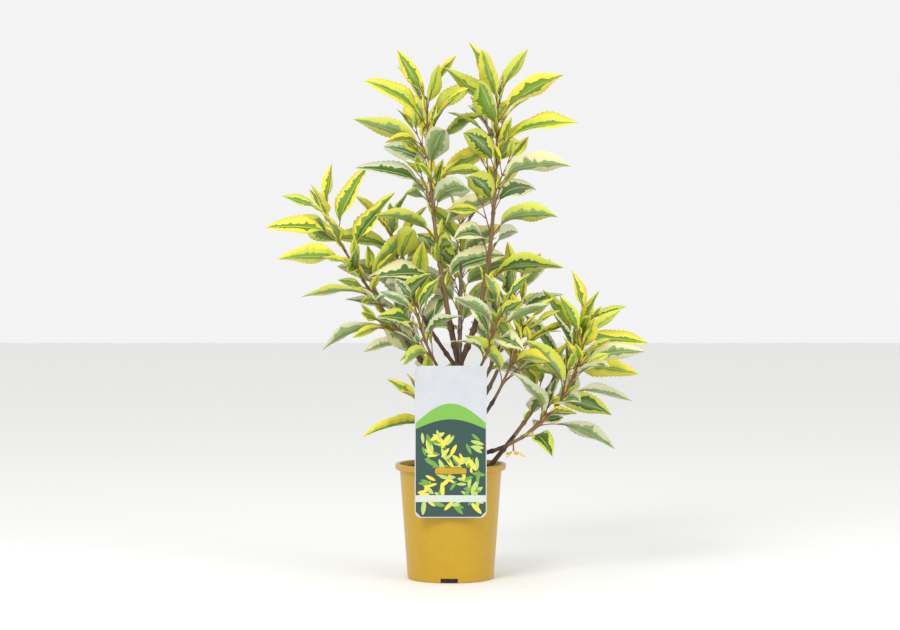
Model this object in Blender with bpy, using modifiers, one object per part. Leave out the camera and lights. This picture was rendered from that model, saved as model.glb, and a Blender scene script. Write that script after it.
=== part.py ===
# Potted forsythia with variegated leaves: upright stems on a short trunk, in a round nursery pot.
# Metres, +Z up. The origin is the centre of the pot's flat underside, and the front faces -Y.

import math
import random
from collections import namedtuple

import bmesh
import bpy
from mathutils import Quaternion, Vector
from mathutils.bvhtree import BVHTree

MM = 0.001
GAP = 0.3 * MM
UP = Vector((0, 0, 1))

# Pot: a thin tapered wall with a stout lip and drain notches round its foot
POT_HEIGHT = 156 * MM
RIM_RADIUS = 75 * MM
LIP_HEIGHT = 8 * MM
BODY_TOP_RADIUS = 69 * MM
BODY_FOOT_RADIUS = 58.5 * MM
POT_WALL = 1.5 * MM
POT_SIDES = 48
NOTCH_COUNT = 6
NOTCH_WIDTH = 23 * MM
NOTCH_HEIGHT = 6.5 * MM
NOTCH_DEPTH = 9 * MM

# Potting soil: flat where the stems stand, lower along the wall
SOIL_TOP_Z = 151 * MM
SOIL_EDGE_Z = 146.5 * MM
SOIL_FLAT_RADIUS = 60 * MM

# Plant label: a stiff card whose slot hangs on the front of the lip
CARD_WIDTH = 95.5 * MM
CARD_HEIGHT = 202 * MM
CARD_THICKNESS = 0.9 * MM
CARD_CORNER = 9 * MM
CARD_CORNER_STEPS = 5
CARD_FRONT_Y = -72 * MM
SLOT_WIDTH = 51 * MM
SLOT_ABOVE_FOOT = 58 * MM

# Trunk: short and nearly upright, with a flare at the soil
TRUNK_FOOT = Vector((6 * MM, 0, SOIL_TOP_Z + GAP))
TRUNK_LENGTH = 142 * MM
TRUNK_LEAN = 2.2
TRUNK_FOOT_RADIUS = 7.6 * MM
TRUNK_TOP_RADIUS = 6.4 * MM
ROOT_FLARE = 6 * MM
ROOT_FLARE_HEIGHT = 9 * MM
SHOOT_TIP_RADIUS = 1.1 * MM
LIMB_SIDES = 6
LIMB_STEPS = 14

# Leaves: a petiole that leaves its twig at a steep angle, then a blade that arches over.
# A leaf whose twig would point it down lifts itself back towards level.
PETIOLE_SHARE = 0.2
PETIOLE_RADIUS = 0.9 * MM
LEAF_STATIONS = (0.0, 0.19, 0.48, 0.8)
LEAF_WIDTH_SHARE = 0.31
LEAF_THICKNESS_SHARE = 0.013
LEAF_FOOT_PITCH = math.radians(34)
ROOT_OUT = 0.4 * MM
SPINE_STEPS = 24
SKY_TURN = 0.35
LEVEL = -0.12
LEVEL_GIVE = 0.35
CLEARANCE = 0.6 * MM

# How a shoot spaces its leaf pairs, from its tip down
TIP_INTERNODE = 18 * MM
INTERNODE_GROWTH = 1.08
PAIR_TURN = 90

# Short side twigs in the axils of older leaf pairs
TWIG_FROM_PAIR = 3
TWIG_CHANCE = 0.7
TWIG_PITCH = math.radians(23)
TWIG_RADIUS = 1.0 * MM
TWIG_SIDES = 3

# The wilted flower: narrow petals on a short stalk that hangs from the low right shoot
FLOWER_SHOOT = "low_right"
FLOWER_ALONG = 84 * MM
FLOWER_STALK = 12 * MM
PETAL_LENGTH = 21 * MM
PETAL_WIDTH = 5.5 * MM
PETAL_TURNS = (10, 75, 150, 230)

# A leaf that would touch something is tried again, turned by these degrees round its twig and dipped
TURNS = ((0, 0), (12, -6), (-12, 6), (22, 10), (-22, -12), (35, 0), (-35, 0), (8, 22), (-8, -22))

Leaf = namedtuple("Leaf", "root axis out length width pitch droop twist fold age")
Limb = namedtuple("Limb", "points radii")
Form = namedtuple("Form", "points faces")
Solid = namedtuple("Solid", "tree low high")
Growth = namedtuple("Growth", "leaves twigs petals")
Shoot = namedtuple(
    "Shoot",
    "name foot heading lean_foot lean_tip bend length radius bare leaf_length phase age seed cut_by",
)


def on_trunk(height):
    """A place on the trunk's axis, this far above the soil."""
    return TRUNK_FOOT + Vector((math.tan(math.radians(TRUNK_LEAN)) * height, 0, height))


def shoot_row(name, foot, heading, lean_foot, lean_tip, bend, length, radius, bare, leaf_length, *others):
    """A shoot from its length, radius, bare foot and leaf length in millimetres, its phase, age and seed.

    The names that follow are the limbs that its bough is cut to fit.
    """
    sizes = [size * MM for size in (length, radius, bare, leaf_length)]
    return Shoot(name, foot, heading, lean_foot, lean_tip, bend, *sizes, *others[:3], others[3:])


FORK = TRUNK_LENGTH - 5 * MM
ON_SOIL = Vector((54 * MM, 12 * MM, SOIL_TOP_Z + GAP))
SHOOTS = (
    shoot_row("left_leader", on_trunk(FORK), 183, 13, 0, 0.9, 367, 4.2, 62, 117, 24, 0.0, 11),
    shoot_row("right_leader", on_trunk(FORK), -4, 27, 2, 3.0, 377, 4.1, 70, 119, 156, 0.05, 23, "left_leader"),
    shoot_row("centre_stub", on_trunk(FORK), 10, 3, -1, 1.0, 141, 2.6, 141, 0, 0, 0, 29, "left_leader", "right_leader"),
    shoot_row("inner_left", on_trunk(FORK - 6 * MM), 166, 40, 12, 0.9, 218, 2.9, 92, 100, 20, 0.05, 31, "left_leader", "centre_stub"),
    shoot_row("far_left", on_trunk(84 * MM), 187, 41, 24, 0.6, 320, 3.4, 112, 108, 4, 0.0, 47),
    shoot_row("far_right", ON_SOIL, 6, 40, 23, 0.6, 238, 3.3, 52, 108, 176, 0.0, 53),
    shoot_row("low_right", on_trunk(13 * MM), -14, 88, 4, 0.95, 262, 3.0, 74, 106, 184, 0.25, 61),
    shoot_row("mid_right", on_trunk(28 * MM), -24, 52, 18, 1.6, 196, 3.0, 88, 96, 30, 0.0, 71, "low_right"),
    shoot_row("right_stub", on_trunk(42 * MM), 12, 42, 24, 1.0, 106, 3.4, 106, 0, 0, 0, 73, "mid_right"),
    shoot_row("low_left", on_trunk(27 * MM), 192, 52, 20, 1.0, 77, 2.4, 26, 112, 12, 0.1, 83),
    shoot_row("front_left", on_trunk(96 * MM), 226, 50, 14, 0.9, 158, 2.4, 66, 88, 60, 0.5, 127),
    shoot_row("front_right", on_trunk(88 * MM), -52, 52, 16, 0.9, 168, 2.4, 66, 88, 25, 0.5, 131),
    shoot_row("back_upper", on_trunk(112 * MM), 88, 42, 10, 0.9, 250, 3.2, 74, 102, 40, 0.3, 97),
    shoot_row("back_left", on_trunk(70 * MM), 128, 52, 16, 0.8, 230, 3.0, 84, 100, 70, 0.4, 101),
    shoot_row("back_right", on_trunk(60 * MM), 52, 54, 14, 0.8, 236, 3.0, 84, 100, 55, 0.4, 113),
)


# Limbs

def limb_points(foot, heading, lean_foot, lean_tip, bend, length):
    """A line that starts at lean_foot degrees from upright and straightens to lean_tip."""
    side = Vector((math.cos(math.radians(heading)), math.sin(math.radians(heading)), 0))
    points = [Vector(foot)]
    for step in range(LIMB_STEPS):
        left = 1 - (step + 0.5) / LIMB_STEPS
        lean = math.radians(lean_tip + (lean_foot - lean_tip) * left**bend)
        points.append(points[-1] + (side * math.sin(lean) + UP * math.cos(lean)) * (length / LIMB_STEPS))
    return points


def along(points, distance):
    """The place and the direction at this distance along a line of points."""
    for first, second in zip(points, points[1:]):
        span = (second - first).length
        if distance <= span or second is points[-1]:
            return first + (second - first) * (distance / span), (second - first).normalized()
        distance -= span


def shoot_limb(shoot, start, end):
    """The part of a shoot between two distances along it, thinner towards the shoot's tip."""
    points = limb_points(shoot.foot, shoot.heading, shoot.lean_foot, shoot.lean_tip, shoot.bend, shoot.length)
    step = shoot.length / LIMB_STEPS
    inner = [i * step for i in range(1, LIMB_STEPS) if start + 2 * MM < i * step < end - 2 * MM]
    distances = [start, *inner, end]
    tip = min(SHOOT_TIP_RADIUS, shoot.radius) if shoot.leaf_length else shoot.radius * 0.7
    radii = [shoot.radius + (tip - shoot.radius) * (distance / shoot.length) ** 1.1 for distance in distances]
    kept = [along(points, distance)[0] for distance in distances]
    if start == 0 and shoot.foot is ON_SOIL:
        kept.insert(1, kept[0] + UP * 2 * MM)
        radii.insert(1, radii[0])
    return Limb(kept, radii)


def trunk_limb():
    """Upright for the first 3 mm, so that its cut lies flat on the soil."""
    points = [TRUNK_FOOT.copy(), TRUNK_FOOT + UP * 3 * MM]
    for step in range(1, LIMB_STEPS + 1):
        points.append(on_trunk(3 * MM + (TRUNK_LENGTH - 3 * MM) * step / LIMB_STEPS))
    radii = []
    for point in points:
        rise = point.z - TRUNK_FOOT.z
        taper = TRUNK_FOOT_RADIUS + (TRUNK_TOP_RADIUS - TRUNK_FOOT_RADIUS) * rise / TRUNK_LENGTH
        radii.append(taper + ROOT_FLARE * math.exp(-rise / ROOT_FLARE_HEIGHT))
    return Limb(points, radii)


def square_to(axis, turn):
    """A direction square to axis, turned round it by this many degrees from the crown's width."""
    base = Vector((1, 0, 0)) - axis * axis.x
    return Quaternion(axis, math.radians(turn)) @ base.normalized()


def limb_form(limb, sides, swell=0.0):
    """A plain many-sided limb, for the tests of what a leaf would touch and for the side twigs."""
    rings = []
    for i, (place, radius) in enumerate(zip(limb.points, limb.radii)):
        way = (limb.points[min(i + 1, len(limb.points) - 1)] - limb.points[max(i - 1, 0)]).normalized()
        rings.append([place + square_to(way, 360 * k / sides) * (radius + swell) for k in range(sides)])
    return lofted(rings)


def lofted(rings, tip=None):
    """Joins rings of points into a closed form, with flat ends or ending in a point.

    The diagonals alternate, so that a leaf's upper and lower faces bend along the same lines.
    """
    count = len(rings[0])
    points = [point for ring in rings for point in ring]
    faces = []
    for r in range(len(rings) - 1):
        for i in range(count):
            a, b = r * count + i, r * count + (i + 1) % count
            c, d = b + count, a + count
            faces += [(a, b, d), (b, c, d)] if i % 2 else [(a, b, c), (a, c, d)]
    faces.append(tuple(reversed(range(count))))
    last = (len(rings) - 1) * count
    if tip is None:
        faces.append(tuple(range(last, last + count)))
    else:
        points.append(tip)
        faces += [(last + i, last + (i + 1) % count, len(points) - 1) for i in range(count)]
    return Form(points, faces)


# Leaves

def ease(value):
    value = min(max(value, 0.0), 1.0)
    return value * value * (3 - 2 * value)


def leaf_spine(leaf):
    """Places, directions and upper-side normals along a leaf, from its root to its tip."""
    place = leaf.root.copy()
    spine = []
    for step in range(SPINE_STEPS + 1):
        t = step / SPINE_STEPS
        pitch = LEAF_FOOT_PITCH + (leaf.pitch - LEAF_FOOT_PITCH) * ease(t / 0.5)
        way = leaf.axis * math.cos(pitch) + leaf.out * math.sin(pitch)
        normal = leaf.axis * math.sin(pitch) - leaf.out * math.cos(pitch)
        way.z = way.z if way.z > LEVEL else LEVEL + (way.z - LEVEL) * LEVEL_GIVE
        way = (way - UP * leaf.droop * t * t).normalized()
        normal = normal.lerp(UP, SKY_TURN * ease(t / 0.4))
        normal = (normal - way * normal.dot(way)).normalized()
        normal = Quaternion(way, leaf.twist * ease(t / 0.5)) @ normal
        spine.append((place.copy(), way, normal))
        place = place + way * (leaf.length / SPINE_STEPS)
    return spine


def blade_width(u):
    """A leaf's width, as a share of its widest, from 0 at the blade's foot to 1 at its tip."""
    return max(math.sin(math.pi * min(max(u, 0.0), 1.0) ** 0.8), 0.0) ** 0.9


def leaf_form(leaf, swell=0.0, first_station=0):
    """A thin closed blade, folded along its midrib: each station has the midrib's top and back and two edges."""
    spine = leaf_spine(leaf)
    rings = []
    for t in LEAF_STATIONS[first_station:]:
        place, way, normal = spine[round(t * SPINE_STEPS)]
        side = way.cross(normal)
        u = (t - PETIOLE_SHARE) / (1 - PETIOLE_SHARE)
        half = max(leaf.width / 2 * blade_width(u), PETIOLE_RADIUS * 0.9) + swell
        thick = max(LEAF_THICKNESS_SHARE * leaf.length * (1 - 0.55 * t) / 2, 0.35 * MM)
        thick = (PETIOLE_RADIUS if u <= 0 else thick) + swell
        fold = leaf.fold if u > 0 else 0.0
        lift = normal * half * math.sin(fold)
        across = side * half * math.cos(fold)
        rings.append((place + normal * thick, place + across + lift, place - normal * thick, place - across + lift))
    return lofted(rings, spine[-1][0] + spine[-1][1] * swell)


# Solids that a new leaf has to stay clear of

def solid_of(form):
    low = Vector([min(point[i] for point in form.points) for i in range(3)])
    high = Vector([max(point[i] for point in form.points) for i in range(3)])
    return Solid(BVHTree.FromPolygons(form.points, form.faces), low, high)


def touches(one, other):
    if any(one.low[i] > other.high[i] or other.low[i] > one.high[i] for i in range(3)):
        return False
    return bool(one.tree.overlap(other.tree))


def touches_any(one, others):
    return any(touches(one, other) for other in others)


def box_form(low, high):
    corners = [Vector((x, y, z)) for z in (low[2], high[2]) for x, y in (
        (low[0], low[1]), (high[0], low[1]), (high[0], high[1]), (low[0], high[1]))]
    return lofted([corners[:4], corners[4:]])


def card_middle():
    """The height of the card's middle: its slot sits round the lip."""
    return POT_HEIGHT - LIP_HEIGHT / 2 - LIP_HEIGHT / 2 - GAP - SLOT_ABOVE_FOOT + CARD_HEIGHT / 2


# Growth

def pair_distances(shoot):
    """Distances along a shoot of its leaf pairs, from its tip down to where it is bare."""
    distances = []
    distance = shoot.length - 3 * MM
    step = TIP_INTERNODE
    while distance > shoot.bare + 6 * MM:
        distances.append(distance)
        distance -= step
        step *= INTERNODE_GROWTH
    return distances


def roll(out, chance):
    """How far a blade turns its face to one side, in degrees: mostly to the front, where the light came from."""
    size = chance.uniform(28, 66)
    to_front = -1 if chance.random() < 0.72 else 1
    return size * to_front * (1 if out.x > 0 else -1)


def new_leaf(place, axis, turn, length, ripe, old, age, chance):
    """A leaf of this length: the riper it is, the further it leans out, and the older, the more it hangs."""
    out = square_to(axis, turn + chance.uniform(-12, 12))
    length *= chance.uniform(0.88, 1.08)
    return Leaf(
        root=place + out * ROOT_OUT,
        axis=axis,
        out=out,
        length=length,
        width=length * LEAF_WIDTH_SHARE * chance.uniform(0.88, 1.12),
        pitch=math.radians(26 + 36 * ripe + 10 * old + chance.uniform(-8, 8)),
        droop=(0.05 + 0.2 * ripe + 0.25 * old) * chance.uniform(0.3, 1.6),
        twist=math.radians(roll(out, chance)),
        fold=math.radians(chance.uniform(14, 32)),
        age=age,
    )


def turned(leaf, turn, dip):
    out = Quaternion(leaf.axis, math.radians(turn)) @ leaf.out
    root = leaf.root + (out - leaf.out) * ROOT_OUT
    return leaf._replace(root=root, out=out, pitch=leaf.pitch + math.radians(dip))


def fitted(leaf, own, others):
    """The first turn of the leaf that clears everything near it, with its solid, or nothing."""
    for turn, dip in TURNS:
        tried = turned(leaf, turn, dip)
        whole = solid_of(leaf_form(tried, CLEARANCE))
        if touches_any(whole, others):
            continue
        if not touches_any(solid_of(leaf_form(tried, CLEARANCE, 1)), own):
            return tried, whole
    return None


def grow_pair(place, axis, turn, length, ripe, old, age, chance, own, others):
    """Up to two leaves, one on each side of their twig. Adds their solids to own."""
    kept = []
    solids = []
    for half in range(2):
        leaf = new_leaf(place, axis, turn + 180 * half, length, ripe, old, age, chance)
        found = fitted(leaf, own, others)
        if found:
            kept.append(found[0])
            solids.append(found[1])
    own += solids
    return kept


def grow_twig(shoot, place, axis, turn, age, chance, own, others):
    """A short side twig with two pairs of small leaves, or nothing where there is no room."""
    out = square_to(axis, turn)
    way = (axis * math.cos(TWIG_PITCH) + out * math.sin(TWIG_PITCH)).normalized()
    length = chance.uniform(26, 50) * MM
    root = place + out * ROOT_OUT
    points = [root, root + way * length * 0.5, root + way * length]
    twig = Limb(points, [TWIG_RADIUS, TWIG_RADIUS * 0.85, TWIG_RADIUS * 0.7])
    clear = Limb([root + way * 9 * MM, *points[1:]], twig.radii)
    solid = solid_of(limb_form(clear, TWIG_SIDES, CLEARANCE))
    if touches_any(solid, own) or touches_any(solid, others):
        return None, []
    kept = []
    for share, size, ripe in ((0.96, 0.4, 0.3), (0.55, 0.52, 0.8)):
        kept += grow_pair(root + way * length * share, way, turn + 90 * (share > 0.9),
                          shoot.leaf_length * size, ripe, 0, age, chance, own, others)
    own.append(solid)
    return twig, kept


def grow_petals(points, own, others):
    """The flower's stalk and petals, hanging from the shoot."""
    root, _ = along(points, FLOWER_ALONG)
    foot = root - UP * FLOWER_STALK
    stalk = Limb([root - UP * 0.4 * MM, foot], [TWIG_RADIUS, TWIG_RADIUS * 1.2])
    down = Vector((0.12, -0.1, -1)).normalized()
    petals = []
    for index, turn in enumerate(PETAL_TURNS):
        petals.append(Leaf(foot - down * 1.5 * MM, down, square_to(down, turn), PETAL_LENGTH * (1 - 0.06 * index),
                           PETAL_WIDTH, math.radians(40 + 34 * (index % 2)), 0.25, 0.5, 0.3, 0.5))
    own += [solid_of(leaf_form(petal, CLEARANCE)) for petal in petals]
    return stalk, petals


def grow():
    """Every shoot's leaves, side twigs and petals, each clear of all that grew before it."""
    fixed = {"trunk": solid_of(limb_form(trunk_limb(), LIMB_SIDES))}
    half_card = Vector((CARD_WIDTH / 2, CARD_THICKNESS, CARD_HEIGHT / 2))
    card = Vector((0, CARD_FRONT_Y, card_middle()))
    fixed["label"] = solid_of(box_form(card - half_card, card + half_card))
    pot_box = Limb([Vector((0, 0, 0)), Vector((0, 0, POT_HEIGHT))], [RIM_RADIUS, RIM_RADIUS])
    fixed["pot"] = solid_of(limb_form(pot_box, POT_SIDES))
    for shoot in SHOOTS:
        fixed[shoot.name] = solid_of(limb_form(shoot_limb(shoot, 0, shoot.length), LIMB_SIDES))
    grown = {}
    done = []
    for shoot in SHOOTS:
        if not shoot.leaf_length:
            continue
        chance = random.Random(shoot.seed)
        points = limb_points(shoot.foot, shoot.heading, shoot.lean_foot, shoot.lean_tip, shoot.bend, shoot.length)
        others = done + [solid for name, solid in fixed.items() if name != shoot.name]
        own = [fixed[shoot.name]]
        growth = Growth([], [], [])
        if shoot.name == FLOWER_SHOOT:
            stalk, petals = grow_petals(points, own, others)
            growth.twigs.append(stalk)
            growth.petals.extend(petals)
        sites = [(index, *along(points, distance)) for index, distance in enumerate(pair_distances(shoot))]
        for index, place, axis in sites:
            ripe = min((index + 0.9) / 3.2, 1.0)
            old = min(max((index - 3) / 6, 0.0), 1.0)
            length = shoot.leaf_length * (0.5 + 0.5 * ripe)
            age = min(shoot.age + 0.07 * index, 1.0)
            growth.leaves.extend(
                grow_pair(place, axis, shoot.phase + PAIR_TURN * index, length, ripe, old, age, chance, own, others)
            )
        for index, place, axis in sites[TWIG_FROM_PAIR:]:
            for half in range(2):
                if chance.random() > TWIG_CHANCE:
                    continue
                age = max(shoot.age + 0.07 * index - 0.35, 0.0)
                turn = shoot.phase + PAIR_TURN * index + 180 * half
                twig, leaves = grow_twig(shoot, place, axis, turn, age, chance, own, others)
                if twig:
                    growth.twigs.append(twig)
                    growth.leaves.extend(leaves)
        grown[shoot.name] = growth
        done += own[1:]
    return grown


# Objects

def new_collection(name):
    collection = bpy.data.collections.new(name)
    bpy.context.scene.collection.children.link(collection)
    return collection


def material(name, colour, roughness):
    finish = bpy.data.materials.new(name)
    finish.use_nodes = True
    shader = finish.node_tree.nodes["Principled BSDF"]
    shader.inputs["Base Color"].default_value = (*colour, 1)
    shader.inputs["Roughness"].default_value = roughness
    shader.inputs["Metallic"].default_value = 0
    return finish


def add_object(name, mesh, collection, finish=None):
    thing = bpy.data.objects.new(name, mesh)
    collection.objects.link(thing)
    if finish:
        mesh.materials.clear()
        mesh.materials.append(finish)
    return thing


def as_cutter(thing):
    thing.hide_render = True
    thing.display_type = "WIRE"


def boolean(thing, other, operation):
    cut = thing.modifiers.new(operation.lower(), "BOOLEAN")
    cut.operation = operation
    cut.object = other


def applied(thing, finish):
    """Gives the object the mesh that its modifiers make, and takes the modifiers off."""
    depsgraph = bpy.context.evaluated_depsgraph_get()
    mesh = bpy.data.meshes.new_from_object(thing.evaluated_get(depsgraph))
    thing.modifiers.clear()
    thing.data = mesh
    mesh.materials.clear()
    mesh.materials.append(finish)


def add_form(name, form, collection):
    mesh = bpy.data.meshes.new(name)
    mesh.from_pydata(form.points, [], form.faces)
    return add_object(name, mesh, collection)


def tube(name, limb, collection, finish=None, swell=0.0):
    """A tapering round limb with flat ends: a poly curve with a bevel, made a mesh and welded."""
    curve = bpy.data.curves.new(name, "CURVE")
    curve.dimensions = "3D"
    curve.bevel_depth = 1.0
    curve.bevel_resolution = 1
    curve.use_fill_caps = True
    spline = curve.splines.new("POLY")
    spline.points.add(len(limb.points) - 1)
    for point, place, radius in zip(spline.points, limb.points, limb.radii):
        point.co = (*place, 1)
        point.radius = radius + swell
    guide = bpy.data.objects.new(name + "_curve", curve)
    collection.objects.link(guide)
    depsgraph = bpy.context.evaluated_depsgraph_get()
    mesh = bpy.data.meshes.new_from_object(guide.evaluated_get(depsgraph))
    bpy.data.objects.remove(guide)
    bpy.data.curves.remove(curve)
    shape = bmesh.new()
    shape.from_mesh(mesh)
    bmesh.ops.remove_doubles(shape, verts=shape.verts, dist=1e-6)
    bmesh.ops.recalc_face_normals(shape, faces=shape.faces)
    shape.to_mesh(mesh)
    shape.free()
    return add_object(name, mesh, collection, finish)


def turned_shape(name, profile, collection, finish):
    """A profile of radius and height, turned about the pot's axis."""
    mesh = bpy.data.meshes.new(name)
    edges = [(i, i + 1) for i in range(len(profile) - 1)]
    mesh.from_pydata([(radius, 0, height) for radius, height in profile], edges, [])
    thing = add_object(name, mesh, collection, finish)
    screw = thing.modifiers.new("turn", "SCREW")
    screw.steps = POT_SIDES
    screw.render_steps = POT_SIDES
    screw.use_merge_vertices = True
    screw.merge_threshold = 0.00005
    return thing


def wall_radius(height):
    """The inside radius of the pot's wall at this height."""
    share = (height - POT_WALL) / (POT_HEIGHT - LIP_HEIGHT - POT_WALL)
    return BODY_FOOT_RADIUS - POT_WALL + (BODY_TOP_RADIUS - BODY_FOOT_RADIUS) * share


def make_pot(collection, cutters):
    inner_top = BODY_TOP_RADIUS - POT_WALL
    profile = (
        (0, POT_WALL), (BODY_FOOT_RADIUS - POT_WALL, POT_WALL), (inner_top, POT_HEIGHT - LIP_HEIGHT),
        (inner_top + POT_WALL, POT_HEIGHT), (RIM_RADIUS, POT_HEIGHT), (RIM_RADIUS, POT_HEIGHT - LIP_HEIGHT),
        (BODY_TOP_RADIUS, POT_HEIGHT - LIP_HEIGHT), (BODY_FOOT_RADIUS, 0), (0, 0),
    )
    pot = turned_shape("pot", profile, collection, material("pot_plastic", (0.58, 0.35, 0.01), 0.4))
    for index in range(NOTCH_COUNT):
        angle = math.radians(-92 + 360 * index / NOTCH_COUNT)
        bpy.ops.mesh.primitive_cube_add(size=1)
        notch = bpy.context.object
        notch.name = f"drain_notch_{index}"
        notch.dimensions = (NOTCH_DEPTH * 2, NOTCH_WIDTH, NOTCH_HEIGHT * 2)
        notch.location = (BODY_FOOT_RADIUS * math.cos(angle), BODY_FOOT_RADIUS * math.sin(angle), 0)
        notch.rotation_euler = (0, 0, angle)
        for owner in notch.users_collection:
            owner.objects.unlink(notch)
        cutters.objects.link(notch)
        as_cutter(notch)
        boolean(pot, notch, "DIFFERENCE")


def make_soil(collection):
    foot = POT_WALL + GAP
    profile = (
        (0, SOIL_TOP_Z), (SOIL_FLAT_RADIUS, SOIL_TOP_Z), (wall_radius(SOIL_EDGE_Z) - GAP, SOIL_EDGE_Z),
        (wall_radius(foot) - GAP, foot), (0, foot),
    )
    turned_shape("soil", profile, collection, material("potting_soil", (0.045, 0.022, 0.014), 0.95))


def rounded_outline(width, height, corner, steps):
    """Points round a rectangle with round corners, centred on the origin."""
    points = []
    for quarter in range(4):
        centre_x = (width / 2 - corner) * (1 if quarter in (0, 3) else -1)
        centre_y = (height / 2 - corner) * (1 if quarter in (0, 1) else -1)
        for step in range(steps + 1):
            angle = math.radians(90 * (quarter + step / steps))
            points.append((centre_x + corner * math.cos(angle), centre_y + corner * math.sin(angle)))
    return points


def add_outline(curve, points, rise=0.0):
    spline = curve.splines.new("POLY")
    spline.points.add(len(points) - 1)
    for point, (x, y) in zip(spline.points, points):
        point.co = (x, y + rise, 0, 1)
    spline.use_cyclic_u = True


def make_label(collection):
    """A flat outline with the slot as a hole in it, stood upright against the lip."""
    curve = bpy.data.curves.new("label", "CURVE")
    curve.dimensions = "2D"
    curve.fill_mode = "BOTH"
    curve.extrude = CARD_THICKNESS / 2
    add_outline(curve, rounded_outline(CARD_WIDTH, CARD_HEIGHT, CARD_CORNER, CARD_CORNER_STEPS))
    slot_height = LIP_HEIGHT + 2 * GAP
    slot_rise = POT_HEIGHT - LIP_HEIGHT / 2 - card_middle()
    add_outline(curve, rounded_outline(SLOT_WIDTH, slot_height, 1.5 * MM, 2), slot_rise)
    curve.materials.append(material("label_card", (0.75, 0.76, 0.78), 0.35))
    label = bpy.data.objects.new("label", curve)
    collection.objects.link(label)
    label.location = (0, CARD_FRONT_Y + CARD_THICKNESS / 2, card_middle())
    label.rotation_euler = (math.radians(90), 0, 0)


def make_bough(shoot, collection, cutters, bark):
    """The bare foot of a shoot, cut to fit the trunk and the limbs that it grows beside."""
    whole = shoot.bare == shoot.length
    limb = shoot_limb(shoot, 0, shoot.bare)
    bough = tube(shoot.name if whole else shoot.name + "_bough", limb, collection, bark)
    if shoot.foot is not ON_SOIL:
        for name in ("trunk", *shoot.cut_by):
            boolean(bough, cutters.objects[name + "_cutter"], "DIFFERENCE")
        applied(bough, bark)
    as_cutter(tube(shoot.name + "_cutter", limb, cutters, swell=GAP * 1.2))


def make_mass(shoot, growth, collection, foliage):
    """A shoot's leafy end: its stem, side twigs and leaves, joined into one solid."""
    stem = tube(shoot.name + "_leaves", shoot_limb(shoot, shoot.bare + GAP, shoot.length), collection)
    sprays = bpy.data.collections.new(shoot.name + "_sprays")
    for leaf in growth.leaves + growth.petals:
        add_form("leaf", leaf_form(leaf), sprays)
    for twig in growth.twigs:
        add_form("twig", limb_form(twig, TWIG_SIDES), sprays)
    join = stem.modifiers.new("join", "BOOLEAN")
    join.operation = "UNION"
    join.operand_type = "COLLECTION"
    join.collection = sprays
    applied(stem, foliage)
    for piece in list(sprays.objects):
        bpy.data.objects.remove(piece)
    bpy.data.collections.remove(sprays)


def main():
    for thing in list(bpy.data.objects):
        bpy.data.objects.remove(thing)
    parts = new_collection("potted_forsythia")
    cutters = new_collection("cutters")
    bark = material("stem_bark", (0.12, 0.06, 0.035), 0.75)
    foliage = material("leaf_green", (0.42, 0.5, 0.12), 0.55)
    make_pot(parts, cutters)
    make_soil(parts)
    make_label(parts)
    tube("trunk", trunk_limb(), parts, bark)
    as_cutter(tube("trunk_cutter", trunk_limb(), cutters, swell=GAP * 1.2))
    grown = grow()
    for shoot in SHOOTS:
        make_bough(shoot, parts, cutters, bark)
        if shoot.name in grown:
            make_mass(shoot, grown[shoot.name], parts, foliage)


main()
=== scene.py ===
# %% [markdown]
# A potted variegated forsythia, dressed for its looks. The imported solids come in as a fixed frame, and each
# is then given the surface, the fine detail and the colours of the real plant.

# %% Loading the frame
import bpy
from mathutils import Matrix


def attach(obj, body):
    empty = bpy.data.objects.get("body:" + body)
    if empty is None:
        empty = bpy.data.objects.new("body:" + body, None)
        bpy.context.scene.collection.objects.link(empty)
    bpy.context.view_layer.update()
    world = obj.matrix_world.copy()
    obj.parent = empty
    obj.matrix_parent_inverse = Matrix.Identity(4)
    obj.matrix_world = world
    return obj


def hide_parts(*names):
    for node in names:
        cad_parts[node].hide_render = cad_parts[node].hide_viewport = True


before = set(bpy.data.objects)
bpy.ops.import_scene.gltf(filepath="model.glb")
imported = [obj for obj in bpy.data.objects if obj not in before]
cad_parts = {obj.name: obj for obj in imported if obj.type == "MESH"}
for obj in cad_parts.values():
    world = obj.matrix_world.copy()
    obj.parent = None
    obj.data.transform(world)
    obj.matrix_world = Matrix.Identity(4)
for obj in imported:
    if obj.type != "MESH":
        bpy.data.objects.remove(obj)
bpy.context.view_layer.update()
print(len(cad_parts), "solids in the frame")

# %% [markdown]
# These modules serve every step: bmesh shapes the meshes, vectors and matrices hold places and turns, and
# a search tree of triangles tells quickly whether two shapes touch.

# %% Tools
import math
import random
from collections import namedtuple

import bmesh
import bpy
from mathutils import Euler, Matrix, Quaternion, Vector, noise
from mathutils.bvhtree import BVHTree

MM = 0.001
GAP = 0.3 * MM
UP = Vector((0, 0, 1))

# %% [markdown]
# The pot, its soil and the label are made things with plain sizes, which are those of the solids. They
# come before the plant, because its leaves have to stay clear of the pot and the label.

# %% Sizes of the pot, the soil and the label
POT_HEIGHT = 156 * MM
RIM_RADIUS = 75 * MM
LIP_HEIGHT = 8 * MM
BODY_TOP_RADIUS = 69 * MM
BODY_FOOT_RADIUS = 58.5 * MM
POT_WALL = 1.5 * MM
POT_SIDES = 48
NOTCH_SIZE = (18 * MM, 23 * MM, 13 * MM)
NOTCH_COUNT = 6
FIRST_NOTCH_TURN = -92

SOIL_TOP_Z = 151 * MM
SOIL_EDGE_Z = 146.5 * MM
SOIL_FLAT_RADIUS = 60 * MM

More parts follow.
